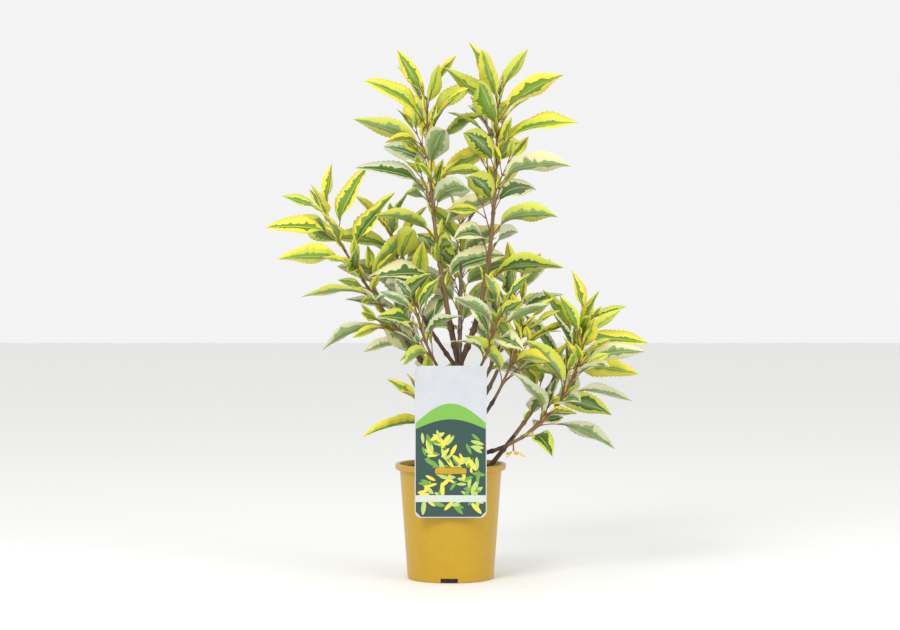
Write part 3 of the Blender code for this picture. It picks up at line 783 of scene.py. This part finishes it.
# %% Leaf blades
BLADE_THICKNESS = 0.32 * MM
BLADE_END = 0.992
LEAST_HALF_WIDTH = 0.5 * MM
RIB_SHARE = 0.045
CORE_SHARE = 0.5
TOOTH_SHARE = 0.05
TOOTHED_FROM = 0.3
WAVE_RANGE = (0.08, 0.2)
WAVE_TURNS = 9
WAVE_SHIFT = 2
LAYOUT_REACH = 1.1
COLUMNS = 8


def spine_at(spine, t):
    """The place, direction and upper normal at a share of the leaf's length."""
    at = min(max(t, 0.0), 1.0) * SPINE_STEPS
    low = min(int(at), SPINE_STEPS - 1)
    return [a.lerp(b, at - low) for a, b in zip(spine[low], spine[low + 1])]


def blade_rows(leaf, chance, toothed):
    """Points of the upper side, a row of eight for each station, with their normals and layout."""
    spine = leaf_spine(leaf)
    base = chance.uniform(*REACH_RANGE)
    left_border, right_border = border_line(chance, base), border_line(chance, base)
    wave, phase = chance.uniform(*WAVE_RANGE), chance.uniform(0, math.tau)
    rows = []
    for station in range(BLADE_STATIONS):
        u = station / (BLADE_STATIONS - 1) * BLADE_END
        place, way, normal = spine_at(spine, PETIOLE_SHARE + (1 - PETIOLE_SHARE) * u)
        across = way.cross(normal)
        half = max(leaf.width / 2 * blade_width(u), LEAST_HALF_WIDTH)
        edge = 1 + TOOTH_SHARE * (1 if station % 2 else -1) if toothed and u > TOOTHED_FROM else 1
        left, right = left_border[station], right_border[station]
        left_half = (-edge, -left, -left * CORE_SHARE, -RIB_SHARE)
        right_half = (RIB_SHARE, right * CORE_SHARE, right, edge)
        for column in left_half + right_half:
            ripple = wave * math.sin(phase + WAVE_TURNS * u + (WAVE_SHIFT if column > 0 else 0))
            lift = half * (abs(column) * math.sin(leaf.fold) + ripple * column * column)
            point = place + across * (half * column * math.cos(leaf.fold)) + normal * lift
            rows.append((point, normal, (u, 0.5 + 0.5 * column / LAYOUT_REACH)))
    return rows


def add_blade(leaf, chance, look, store, toothed=True):
    """Adds one leaf's shell to the store of points, faces, tones and layout.

    Its faces are wound clockwise as seen from outside, so they point into the shell.
    """
    points, faces, tones, layout = store
    start = len(points)
    rows = blade_rows(leaf, chance, toothed)
    drawn = [chance.choice(part) for part in (look.margin, look.middle, look.core)]
    margin, middle, core = (TONE_NAMES.index(tone) for tone in drawn)
    rib, back, under = (TONE_NAMES.index(tone) for tone in (look.rib, look.back, look.under))
    upper = (margin, middle, core, rib, core, middle, margin)
    lower = (margin, middle, under, back, under, middle, margin)
    for depth in (0, BLADE_THICKNESS):
        points += [point - normal * depth for point, normal, _ in rows]
        layout += [place for _, _, place in rows]
    below = len(rows)
    for station in range(BLADE_STATIONS - 1):
        first = start + station * COLUMNS
        for column in range(COLUMNS - 1):
            a = first + column
            faces.append((a, a + COLUMNS, a + COLUMNS + 1, a + 1))
            faces.append((a + below, a + below + 1, a + below + COLUMNS + 1, a + below + COLUMNS))
            tones += [upper[column], lower[column]]
        last = first + COLUMNS - 1
        faces.append((first, first + below, first + below + COLUMNS, first + COLUMNS))
        faces.append((last + COLUMNS, last + below + COLUMNS, last + below, last))
        tones += [margin, margin]
    tip = start + (BLADE_STATIONS - 1) * COLUMNS
    faces += [(a + 1, a + below + 1, a + below, a) for a in range(start, start + COLUMNS - 1)]
    faces += [(a, a + below, a + below + 1, a + 1) for a in range(tip, tip + COLUMNS - 1)]
    tones += [*upper, *upper]


def blades_mesh(name, store):
    points, faces, tones, layout = store
    mesh = joined_mesh(name, points, faces, tones)
    corners = mesh.uv_layers.new(name=LAYOUT)
    corners.data.foreach_set("uv", [value for face in faces for corner in face for value in layout[corner]])
    mesh.update()
    return mesh


# %% [markdown]
# Besides the leaves of the solids there are young ones, a few millimetres to a few centimetres long, in
# the axils and at the tips. They stand close to the shoot, well inside the crown.

# %% Leaves on every shoot
SMALL_LEAF = 0.24
SMALL_RANGE = (0.8, 1.3)
SMALL_TURN_GIVE = 25
SMALL_BELOW_PAIR = 1 * MM
SMALL_RIPE = 0.1
SMALL_PITCH_RANGE = (12, 30)
AXIL_BARE_CHANCE = 0.3
LOOKS_SEED = 1000
YOUNG_BELOW, AGE_GIVE = 0.36, 0.12


def small_leaves(shoot, chance):
    points = shoot_line(shoot)
    extra = []
    for index, distance in enumerate(pair_distances(shoot)):
        place, axis = along(points, distance - SMALL_BELOW_PAIR)
        for half in range(2):
            if index and chance.random() < AXIL_BARE_CHANCE:
                continue
            turn = shoot.phase + PAIR_TURN * index + 180 * half
            turn += chance.uniform(-SMALL_TURN_GIVE, SMALL_TURN_GIVE)
            length = shoot.leaf_length * SMALL_LEAF * chance.uniform(*SMALL_RANGE)
            leaf = new_leaf(place, axis, turn, length, SMALL_RIPE, 0, 0, chance)
            extra.append(leaf._replace(pitch=math.radians(chance.uniform(*SMALL_PITCH_RANGE))))
    return extra


def shoot_blades(shoot, growth):
    """Every blade on a shoot: those of the solids, the small ones and the petals."""
    chance = random.Random(shoot.seed + LOOKS_SEED)
    store = ([], [], [], [])
    for leaf in growth.leaves:
        young = leaf.age + chance.uniform(-AGE_GIVE, AGE_GIVE) < YOUNG_BELOW
        add_blade(leaf, chance, YOUNG if young else OLD, store)
    for leaf in small_leaves(shoot, chance):
        add_blade(leaf, chance, YOUNG, store)
    for petal in growth.petals:
        add_blade(petal, chance, PETAL, store, toothed=False)
    return store


# %% [markdown]
# Stems swell where a pair of leaves stands. A curve with a bevel would be quick, but it can't swell there
# by a rule, so a round of points is carried along the stem's line with that swelling in its radius.

# %% Tubes and swollen stems
TWIG_ROUND = 7
NODE_SWELL = 0.38
NODE_REACH = 2.6 * MM
RING_STEP = 2 * MM


def add_tube(store, places, radii, sides, tone):
    """Adds a closed tapering tube to the store."""
    points, faces, tones = store
    start = len(points)
    last = len(places) - 1
    for i, (place, radius) in enumerate(zip(places, radii)):
        way = (places[min(i + 1, last)] - places[max(i - 1, 0)]).normalized()
        points += [place + square_to(way, 360 * k / sides) * radius for k in range(sides)]
    for i in range(last):
        for k in range(sides):
            a, b = start + i * sides + k, start + i * sides + (k + 1) % sides
            faces.append((a, b, b + sides, a + sides))
    faces.append(tuple(start + k for k in reversed(range(sides))))
    faces.append(tuple(start + last * sides + k for k in range(sides)))
    tones += [tone] * (last * sides + 2)


def swollen(shoot, nodes, start, end):
    """Places and radii along a shoot, thicker at its nodes."""
    points = shoot_line(shoot)
    count = max(int((end - start) / RING_STEP), 2)
    places, radii = [], []
    for i in range(count + 1):
        distance = start + (end - start) * i / count
        swell = sum(math.exp(-((distance - node) / NODE_REACH) ** 2) for node in nodes)
        places.append(along(points, distance)[0])
        radii.append(shoot_radius(shoot, distance) * (1 + NODE_SWELL * min(swell, 1)))
    return places, radii


print("a pair of leaves thickens its stem by", round(100 * NODE_SWELL), "per cent")

# %% [markdown]
# A leafy shoot has its green-brown stem, a bud in each axil, its side twigs and a stalk under each
# full-sized leaf. They are small and many, so they are joined into one mesh, with a finish for each kind.

# %% Stem, buds and stalks of a shoot
STALK_ROUND = 5
BUD_LEAN = 0.45
BUD_ROOTED = 0.8
BUD_LENGTHS = [length * MM for length in (0, 1.6, 3.2, 4.6)]
BUD_RADII = [radius * MM for radius in (0.8, 1.25, 0.9, 0.15)]
STALK_SHARES = (0, 0.05, 0.1, 0.15, PETIOLE_SHARE, 0.3, 0.45)
STALK_RADII = [radius * MM for radius in (1.3, 0.85, 0.75, 0.75, 0.7, 0.5, 0.25)]
STALK_BELOW = 0.6
TWIG_LOOKS = [
    finish("twig_green_brown", (0.22, 0.13, 0.05), (0.5, 0.75), 900, 0.0003),
    finish("stalk_red_brown", (0.28, 0.10, 0.05), (0.42, 0.6), 900, 0.0002),
    finish("bud_scale", (0.16, 0.07, 0.03), (0.5, 0.7), 900, 0.0002),
]
TWIG, STALK, BUD = range(3)


def twigs_mesh(name, shoot, growth):
    store = ([], [], [])
    points = shoot_line(shoot)
    nodes = pair_distances(shoot)
    add_tube(store, *swollen(shoot, nodes, shoot.bare, shoot.length), TWIG_ROUND, TWIG)
    for index, node in enumerate(nodes):
        place, axis = along(points, node)
        for half in range(2):
            out = square_to(axis, shoot.phase + PAIR_TURN * index + 180 * half)
            bud = (axis + out * BUD_LEAN).normalized()
            root = place + out * shoot_radius(shoot, node) * BUD_ROOTED
            add_tube(store, [root + bud * far for far in BUD_LENGTHS], BUD_RADII, STALK_ROUND, BUD)
    for twig in growth.twigs:
        add_tube(store, twig.points, twig.radii, TWIG_ROUND, STALK)
    for leaf in growth.leaves:
        spine = leaf_spine(leaf)
        line = []
        for share, radius in zip(STALK_SHARES, STALK_RADII):
            place, _, normal = spine_at(spine, share)
            line.append(place - normal * radius * STALK_BELOW)
        add_tube(store, line, STALK_RADII, STALK_ROUND, STALK)
    return joined_mesh(name, *store)


# %% [markdown]
# Every leafy shoot becomes two pieces: its blades, and its stem with twigs, stalks and buds. Both stand
# for the one solid that holds the same leaves and stems, because the two need different finishes.

# %% Dressing every leafy shoot
for shoot in SHOOTS:
    if shoot.name in GROWN:
        node = shoot.name + "_leaves"
        blades = blades_mesh(node, shoot_blades(shoot, GROWN[shoot.name]))
        place_piece(shoot.name + "_blades", blades, LEAF_LOOKS, "foliage", node)
        twigs = twigs_mesh(node, shoot, GROWN[shoot.name])
        place_piece(shoot.name + "_twigs", twigs, TWIG_LOOKS, "stem_bark", node)

# %% [markdown]
# The trunk and the bare boughs have rough bark, with thickened nodes. Each limb starts as a circle that
# is extruded ring by ring along its line, and noise stretched upwards pushes its points in and out.

# %% Bark on a limb
BARK = finish("stem_bark_relief", (0.035, 0.02, 0.012), (0.6, 0.92), 260, 0.0008, (0.17, 0.095, 0.05),
              stretch=(1, 1, 0.22))
BARK_GREY = finish("stub_bark_relief", (0.07, 0.05, 0.035), (0.6, 0.9), 260, 0.0008, (0.24, 0.17, 0.11),
                   stretch=(1, 1, 0.3))
BARK_ROUND = 20
BARK_RELIEF = 0.085
RIDGES_PER_METRE = 260
RIDGE_STRETCH = 190


def next_ring(shape, ring):
    """Extrudes a ring of vertices and gives the new ring in the same order."""
    edges = list({edge for vert in ring for edge in vert.link_edges if edge.other_vert(vert) in ring})
    grown = bmesh.ops.extrude_edge_only(shape, edges=edges)["geom"]
    order = {vert: k for k, vert in enumerate(ring)}
    fresh = {}
    for vert in grown:
        if isinstance(vert, bmesh.types.BMVert):
            mates = [edge.other_vert(vert) for edge in vert.link_edges]
            fresh[next(order[mate] for mate in mates if mate in order)] = vert
    return [fresh[k] for k in range(len(ring))]


def bark_limb(name, places, radii, look, node):
    shape = bmesh.new()
    ring = bmesh.ops.create_circle(shape, cap_ends=True, segments=BARK_ROUND, radius=1)["verts"]
    last = len(places) - 1
    for i, (place, radius) in enumerate(zip(places, radii)):
        ring = next_ring(shape, ring) if i else ring
        way = (places[min(i + 1, last)] - places[i - 1]).normalized() if i else UP
        for k, vert in enumerate(ring):
            out = square_to(way, 360 * k / BARK_ROUND)
            spot = (place + out * radius) * RIDGES_PER_METRE - Vector((0, 0, place.z * RIDGE_STRETCH))
            vert.co = place + out * (radius * (1 + BARK_RELIEF * noise.noise(spot)))
    bmesh.ops.contextual_create(shape, geom=ring)
    place_piece(name, mesh_of(shape, name), [look], "stem_bark", node)


# %% [markdown]
# The trunk has its flare, and every bough or stub its nodes. The bark of the cut-back stubs is greyer
# than that of the living boughs.

# %% Bark on every limb
BARE_NODES = [distance * MM for distance in (28, 52, 80, 108)]
NODE_FREE_END = 4 * MM
TRUNK_RINGS = 62
TRUNK_RING_STEP = 2.2 * MM
rises = [TRUNK_UPRIGHT + TRUNK_RING_STEP * i for i in range(TRUNK_RINGS)]
rises = [0.0, *rises, TRUNK_LENGTH - GAP]
trunk_radii = [trunk_radius(rise) for rise in rises]
bark_limb("trunk_bark", [on_trunk(rise) for rise in rises], trunk_radii, BARK, "trunk")
for shoot in SHOOTS:
    stub = shoot.bare == shoot.length
    node = shoot.name if stub else shoot.name + "_bough"
    nodes = [distance for distance in BARE_NODES if distance < shoot.bare - NODE_FREE_END]
    bark_limb(node + "_bark", *swollen(shoot, nodes, 0, shoot.bare), BARK_GREY if stub else BARK, node)

# %% [markdown]
# The pot is thin moulded plastic: a tapered wall under a stout lip with rounded edges. Its section is
# spun about the axis in many steps, so the outline is round. Rings in the wall keep its shading even
# where the drain notches are cut.

# %% Pot section
POT_ROUND = 160
LIP_ROUND = 1.8 * MM
LIP_UNDER_ROUND = 1 * MM
FOOT_ROUND = 1.5 * MM
RIM_DIP = 0.6 * MM
NECK_FALL = 1.2 * MM
WALL_RINGS = [height * MM for height in (110, 60, 20, 9, 7.5)]
MERGE = 1e-6


def wall_radius(height):
    """The inside radius of the pot's wall at this height."""
    share = (height - POT_WALL) / (POT_HEIGHT - LIP_HEIGHT - POT_WALL)
    return BODY_FOOT_RADIUS - POT_WALL + (BODY_TOP_RADIUS - BODY_FOOT_RADIUS) * share


def spun(section, steps):
    """A section of radius and height, spun about the pot's axis and closed."""
    shape = bmesh.new()
    verts = [shape.verts.new((radius, 0, height)) for radius, height in section]
    edges = [shape.edges.new(pair) for pair in zip(verts, verts[1:])]
    bmesh.ops.spin(shape, geom=verts + edges, cent=(0, 0, 0), axis=(0, 0, 1), dvec=(0, 0, 0),
                   angle=math.tau, steps=steps, use_merge=True, use_duplicate=False)
    bmesh.ops.remove_doubles(shape, verts=shape.verts, dist=MERGE)
    return shape


def rounded(middle_r, middle_z, radius, start, end, steps):
    """Points on an arc of the section, by degrees from straight out."""
    angles = [math.radians(start + (end - start) * i / steps) for i in range(steps + 1)]
    return [(middle_r + radius * math.cos(angle), middle_z + radius * math.sin(angle)) for angle in angles]


inner_top = BODY_TOP_RADIUS - POT_WALL
lip_foot = POT_HEIGHT - LIP_HEIGHT
pot_section = [
    (0, POT_WALL), (BODY_FOOT_RADIUS - POT_WALL, POT_WALL), (inner_top, lip_foot),
    (BODY_TOP_RADIUS, POT_HEIGHT - RIM_DIP), (BODY_TOP_RADIUS + POT_WALL, POT_HEIGHT),
    *rounded(RIM_RADIUS - LIP_ROUND, POT_HEIGHT - LIP_ROUND, LIP_ROUND, 90, 0, 5),
    *rounded(RIM_RADIUS - LIP_UNDER_ROUND, lip_foot + LIP_UNDER_ROUND, LIP_UNDER_ROUND, 0, -90, 3),
    (BODY_TOP_RADIUS + RIM_DIP, lip_foot), (BODY_TOP_RADIUS, lip_foot - NECK_FALL),
    *((BODY_FOOT_RADIUS + (BODY_TOP_RADIUS - BODY_FOOT_RADIUS) * z / lip_foot, z) for z in WALL_RINGS),
    *rounded(BODY_FOOT_RADIUS - FOOT_ROUND, FOOT_ROUND, FOOT_ROUND, 0, -90, 4), (0, 0),
]
POT_PLASTIC = finish("pot_plastic_moulded", (0.47, 0.275, 0.001), (0.3, 0.42), 90, 0.00012,
                     (0.5, 0.295, 0.002), coat=0.1)
pot_mesh = mesh_of(spun(pot_section, POT_ROUND), "pot_shell")
pot = place_piece("pot_shell", pot_mesh, [POT_PLASTIC], "pot_plastic", "pot")

# %% [markdown]
# Drain notches are cut out of the foot by blocks. The solids have six places for them, and every other
# one is cut here, the first of them at the front. A Boolean is the plain way to cut through a wall. Its
# result is kept as the mesh, and edges sharper than a set angle are marked so that shading stays crisp.

# %% Drain notches
SEEN_NOTCHES = (0, 2, 4)
SHARP_ANGLE = math.radians(35)
notch_shape = bmesh.new()
for index in SEEN_NOTCHES:
    angle = math.radians(FIRST_NOTCH_TURN + 360 * index / NOTCH_COUNT)
    place = Matrix.Translation((BODY_FOOT_RADIUS * math.cos(angle), BODY_FOOT_RADIUS * math.sin(angle), 0))
    size = Matrix.Diagonal((*NOTCH_SIZE, 1))
    bmesh.ops.create_cube(notch_shape, size=1, matrix=place @ Matrix.Rotation(angle, 4, "Z") @ size)
notches = bpy.data.objects.new("notch_blocks", mesh_of(notch_shape, "notch_blocks", False))
bpy.context.collection.objects.link(notches)
cut = pot.modifiers.new("notches", "BOOLEAN")
cut.operation = "DIFFERENCE"
cut.object = notches
bpy.context.view_layer.update()
pot.data = bpy.data.meshes.new_from_object(pot.evaluated_get(bpy.context.evaluated_depsgraph_get()))
pot.modifiers.clear()
pot.data.set_sharp_from_angle(angle=SHARP_ANGLE)
bpy.data.objects.remove(notches)
print("pot with notches", len(pot.data.polygons), "faces")

# %% [markdown]
# Potting soil is dark, moist and uneven. The bed is spun like the pot, and its top is pushed up and down
# by coarse and fine noise, lower along the wall.

# %% Soil bed
SOIL = finish("potting_soil_crumbly", (0.018, 0.009, 0.005), (0.8, 1.0), 420, 0.0022, (0.085, 0.045, 0.024))
SOIL_ROUND = 110
SOIL_RINGS = 30
SOIL_LIFT = 1.2 * MM
TOP_REACH = 1 * MM
SOIL_FALL_FROM = SOIL_FLAT_RADIUS * 0.75
HEAP_SIZE, HEAP_HEIGHT = 45, 2.2 * MM
LUMP_SIZE, LUMP_HEIGHT = 170, 1.1 * MM
LUMP_LAYER = 4
soil_foot = POT_WALL + GAP
soil_edge = wall_radius(SOIL_EDGE_Z) - GAP


def soil_height(x, y):
    """The lie of the soil: highest round the stems, lower at the wall."""
    edge = ease((math.hypot(x, y) - SOIL_FALL_FROM) / (wall_radius(SOIL_EDGE_Z) - SOIL_FALL_FROM))
    heap = noise.noise(Vector((x, y, 0)) * HEAP_SIZE) * HEAP_HEIGHT
    lump = noise.noise(Vector((x, y, LUMP_LAYER)) * LUMP_SIZE) * LUMP_HEIGHT
    return SOIL_TOP_Z + SOIL_LIFT + heap + lump - edge * (SOIL_TOP_Z - SOIL_EDGE_Z)


section = [(0, soil_foot), (wall_radius(soil_foot) - GAP, soil_foot)]
section += [(soil_edge * (1 - i / SOIL_RINGS), SOIL_EDGE_Z) for i in range(SOIL_RINGS + 1)]
bed = spun(section, SOIL_ROUND)
for vert in bed.verts:
    if vert.co.z > SOIL_EDGE_Z - TOP_REACH:
        vert.co.z = soil_height(vert.co.x, vert.co.y)
place_piece("soil_bed", mesh_of(bed, "soil_bed"), [SOIL], "potting_soil", "soil")

# %% [markdown]
# On the bed lie crumbs and long chips of bark. Each is a ball of twenty faces, squashed and turned at
# random, because hundreds of them have to stay light. They are joined into one piece.

# %% Soil crumbs
SOIL_CRUMB = finish("soil_crumb", (0.028, 0.014, 0.008), (0.8, 1.0), 500, 0.001, (0.11, 0.06, 0.035))
SOIL_CHIP = finish("soil_bark_chip", (0.13, 0.07, 0.035), (0.75, 0.95), 500, 0.0008, (0.24, 0.14, 0.075))
CRUMB_COUNT = 900
CRUMB_SIZES = (0.5, 2.1)
CRUMB_FLATNESS = (0.5, 0.9)
CHIP_LENGTH = 2.2
CHIP_EVERY = 7
CRUMB_SPREAD = 0.97
CRUMB_RAISED = 0.2
CRUMB_SEED = 17
chance = random.Random(CRUMB_SEED)
crumbs = bmesh.new()
for index in range(CRUMB_COUNT):
    reach = soil_edge * CRUMB_SPREAD * math.sqrt(chance.random())
    angle = chance.uniform(0, math.tau)
    x, y = reach * math.cos(angle), reach * math.sin(angle)
    size = chance.uniform(*CRUMB_SIZES) * MM
    turn = Euler([chance.uniform(0, math.tau) for _ in range(3)]).to_matrix().to_4x4()
    chip = index % CHIP_EVERY == 0
    long = size * (CHIP_LENGTH if chip else 1)
    stretch = Matrix.Diagonal((long, size, size * chance.uniform(*CRUMB_FLATNESS), 1))
    matrix = Matrix.Translation((x, y, soil_height(x, y) + size * CRUMB_RAISED)) @ turn @ stretch
    for vert in bmesh.ops.create_icosphere(crumbs, subdivisions=1, radius=1, matrix=matrix)["verts"]:
        for face in vert.link_faces:
            face.material_index = int(chip)
place_piece("soil_crumbs", mesh_of(crumbs, "soil_crumbs", False), [SOIL_CRUMB, SOIL_CHIP], "potting_soil")

# %% [markdown]
# The label is a stiff card that hangs on the lip by its slot. Its solid has the right shape, so it stays
# and gets a finish. Each printed area is a very thin plate in front of the card, because an edge in the
# mesh stays sharp however near one looks, and the slot is cut through the plates too.

# %% Label
CARD_COAT = 0.3
CARD_GLOSS = (0.28, 0.4)
CARD = finish("label_card_printed", (0.50, 0.52, 0.55), CARD_GLOSS, 60, 0.00004, (0.53, 0.55, 0.58),
              coat=CARD_COAT)
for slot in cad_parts["label"].material_slots:
    slot.material = CARD
PRINT_COLOURS = {
    "band": (0.17, 0.42, 0.05), "ground": (0.012, 0.055, 0.045), "leaf_yellow": (0.72, 0.62, 0.05),
    "leaf_green": (0.13, 0.32, 0.03), "leaf_pale": (0.45, 0.55, 0.12), "strip": (0.55, 0.6, 0.56),
}
PRINT = {name: finish("print_" + name, colour, CARD_GLOSS, 60, 0.00004, coat=CARD_COAT)
         for name, colour in PRINT_COLOURS.items()}
PRINT_MARGIN = 1.2 * MM
PRINT_HALF = CARD_WIDTH / 2 - PRINT_MARGIN


# %% [markdown]
# A printed area starts as a flat outline that is extruded by a hair. Planes cut it along the sides of
# the slot, the faces inside the slot go, and the open edges are closed.

# %% Thin printed plates
PRINT_LIFT = 0.06 * MM
PLATE_SHARE = 0.9
SLOT_LOW = POT_HEIGHT - LIP_HEIGHT - 2 * GAP
SLOT_HIGH = POT_HEIGHT + 2 * GAP


def split(shape, place, across):
    """Cuts every face of the shape along a plane."""
    everything = [*shape.verts, *shape.edges, *shape.faces]
    bmesh.ops.bisect_plane(shape, geom=everything, plane_co=place, plane_no=across)


def in_slot(face):
    middle = face.calc_center_median()
    return SLOT_LOW < middle.z < SLOT_HIGH and abs(middle.x) < SLOT_WIDTH / 2


def plate(name, outlines, look, levels):
    """Thin plates of these outlines on the card's front, each in front of those of lower levels."""
    shape = bmesh.new()
    printed = []
    for outline, level in zip(outlines, levels):
        front = CARD_FRONT_Y - PRINT_LIFT * level
        printed.append(shape.faces.new([shape.verts.new((x, front, z)) for x, z in outline]))
    lifted = bmesh.ops.extrude_face_region(shape, geom=printed)["geom"]
    bmesh.ops.translate(shape, vec=(0, PRINT_LIFT * PLATE_SHARE, 0),
                        verts=[item for item in lifted if isinstance(item, bmesh.types.BMVert)])
    for x in (-SLOT_WIDTH / 2, SLOT_WIDTH / 2):
        split(shape, (x, 0, 0), (1, 0, 0))
    for z in (SLOT_LOW, SLOT_HIGH):
        split(shape, (0, 0, z), (0, 0, 1))
    bmesh.ops.delete(shape, geom=[face for face in shape.faces if in_slot(face)], context="FACES")
    bmesh.ops.holes_fill(shape, edges=[edge for edge in shape.edges if edge.is_boundary], sides=0)
    return place_piece(name, mesh_of(shape, name, False), [look], "label_card")


# %% [markdown]
# The print is a plain generic design: a pale top, a green arched band, a dark ground and a pale strip
# near the foot. Straight edges need only their corners, and the arches are half waves.

# %% Printed areas
GROUND_TOP = CARD_FOOT + 118 * MM
BAND_RISE = 26 * MM
GROUND_RISE = BAND_RISE * 0.5
BAND_STEP = 8 * MM
ARCH_STEPS = 24
CORNER_HIGH, CORNER_IN = 8 * MM, 7 * MM
STRIP_LOW, STRIP_HIGH = CARD_FOOT + 21 * MM, CARD_FOOT + 30 * MM
STRIP_LEVEL = 4


def arch(low, rise):
    """An arched line across the card, from left to right."""
    half = ARCH_STEPS / 2
    return [(PRINT_HALF * (i / half - 1), low + rise * math.sin(math.pi * i / ARCH_STEPS))
            for i in range(ARCH_STEPS + 1)]


ground_arch = arch(GROUND_TOP, GROUND_RISE)
foot = CARD_FOOT + PRINT_MARGIN
ground = [(-PRINT_HALF, CARD_FOOT + CORNER_HIGH), (-PRINT_HALF + CORNER_IN, foot),
          (PRINT_HALF - CORNER_IN, foot), (PRINT_HALF, CARD_FOOT + CORNER_HIGH), *reversed(ground_arch)]
band = [*ground_arch, *reversed(arch(GROUND_TOP + BAND_STEP, BAND_RISE))]
strip = [(-PRINT_HALF, STRIP_LOW), (PRINT_HALF, STRIP_LOW),
         (PRINT_HALF, STRIP_HIGH), (-PRINT_HALF, STRIP_HIGH)]
plate("label_print_ground", [ground], PRINT["ground"], [1])
plate("label_print_band", [band], PRINT["band"], [1])
plate("label_print_strip", [strip], PRINT["strip"], [STRIP_LEVEL])

# %% [markdown]
# Leaf shapes in three tones are strewn over the ground by a seeded draw. Each lies a hair in front of the
# last, so where two cross one covers the other cleanly.

# %% Printed leaves
PRINTED_LEAVES = 96
PRINTED_TONES = ("leaf_green", "leaf_yellow", "leaf_pale")
PRINTED_LENGTHS = (6, 11)
PRINTED_WIDTH = 0.3
PRINTED_POINTED = 0.4
PRINTED_STEPS = 14
PRINTED_REACH = 0.82
PRINTED_LOW, PRINTED_SPAN = CARD_FOOT + 12 * MM, 98 * MM
FIRST_LEVEL, LEVEL_STEP = 1.4, 0.024
PRINT_SEED = 5


def leaf_outline(x, z, angle, length):
    """A pointed oval round this place on the card, kept inside the print's sides."""
    outline = []
    for step in range(PRINTED_STEPS):
        turn = math.tau * step / PRINTED_STEPS
        far = length * math.cos(turn)
        wide = length * PRINTED_WIDTH * math.sin(turn) * abs(math.sin(turn)) ** PRINTED_POINTED
        px = x + far * math.cos(angle) - wide * math.sin(angle)
        pz = z + far * math.sin(angle) + wide * math.cos(angle)
        outline.append((min(max(px, -PRINT_HALF), PRINT_HALF), pz))
    return outline


chance = random.Random(PRINT_SEED)
printed_leaves = {tone: [] for tone in PRINTED_TONES}
for index in range(PRINTED_LEAVES):
    x = chance.uniform(-PRINTED_REACH, PRINTED_REACH) * PRINT_HALF
    z = PRINTED_LOW + (index / PRINTED_LEAVES) * PRINTED_SPAN
    angle, length = chance.uniform(0, math.pi), chance.uniform(*PRINTED_LENGTHS) * MM
    drawn = (leaf_outline(x, z, angle, length), FIRST_LEVEL + LEVEL_STEP * index)
    printed_leaves[PRINTED_TONES[index % len(PRINTED_TONES)]].append(drawn)
for tone, drawn in printed_leaves.items():
    outlines, levels = zip(*drawn)
    plate("label_print_" + tone, outlines, PRINT[tone], levels)

# %% [markdown]
# The plant stands on a pale floor, so wide that its edge is never seen. It belongs to the picture and not to
# the plant.

# %% Floor
FLOOR_HALF = 8
floor_shape = bmesh.new()
bmesh.ops.create_grid(floor_shape, x_segments=1, y_segments=1, size=FLOOR_HALF)
floor_mesh = mesh_of(floor_shape, "floor", False)
floor_mesh.materials.append(finish("floor_pale", (0.86, 0.86, 0.85), (0.6, 0.8), 4, 0.0001))
floor = bpy.data.objects.new("floor", floor_mesh)
bpy.context.collection.objects.link(floor)

# %% [markdown]
# An even white sky keeps the shadows soft. A broad lamp high on the left gives form, and a weaker one on
# the right opens the dark side.

# %% Sky and lamps
SKY_STRENGTH = 0.9
LAMP_AIM = Vector((0, 0, 0.4))
sky = bpy.data.worlds.new("studio_air")
sky.use_nodes = True
sky.node_tree.nodes["Background"].inputs["Color"].default_value = (1, 1, 1, 1)
sky.node_tree.nodes["Background"].inputs["Strength"].default_value = SKY_STRENGTH
bpy.context.scene.world = sky
bpy.context.scene.view_settings.view_transform = "Standard"


def aim(thing, place, target):
    thing.location = place
    thing.rotation_euler = (target - place).to_track_quat("-Z", "Y").to_euler()


def lamp(name, place, size, power):
    light = bpy.data.lights.new(name, "AREA")
    light.shape = "DISK"
    light.size = size
    light.energy = power
    thing = bpy.data.objects.new(name, light)
    bpy.context.collection.objects.link(thing)
    aim(thing, Vector(place), LAMP_AIM)


LAMPS = (
    ("lamp_left", (-1.1, -2.1, 2.2), 1.1, 44),
    ("lamp_right", (1.8, -1.6, 1.2), 1.4, 16),
)
for row in LAMPS:
    lamp(*row)
print(len(LAMPS), "lamps over a floor", 2 * FLOOR_HALF, "metres wide")

# %% [markdown]
# The camera stands far off at the height of the crown's middle and looks slightly down, through a long
# lens, as the photograph was taken. That keeps the pot's rim nearly a line.

# %% Camera
CAMERA_PLACE = Vector((-0.00095, -3.2, 0.447))
CAMERA_TARGET = Vector((-0.00095, 0, 0.357))
CAMERA_LENS = 94.5
SENSOR_WIDTH = 36
lens = bpy.data.cameras.new("camera")
lens.lens = CAMERA_LENS
lens.sensor_width = SENSOR_WIDTH
camera = bpy.data.objects.new("camera", lens)
bpy.context.collection.objects.link(camera)
aim(camera, CAMERA_PLACE, CAMERA_TARGET)
bpy.context.scene.camera = camera
print("camera", round((CAMERA_TARGET - CAMERA_PLACE).length, 3), "metres from what it looks at")

# %% [markdown]
# Last, the view layer is brought up to date.

# %% Finish
bpy.context.view_layer.update()
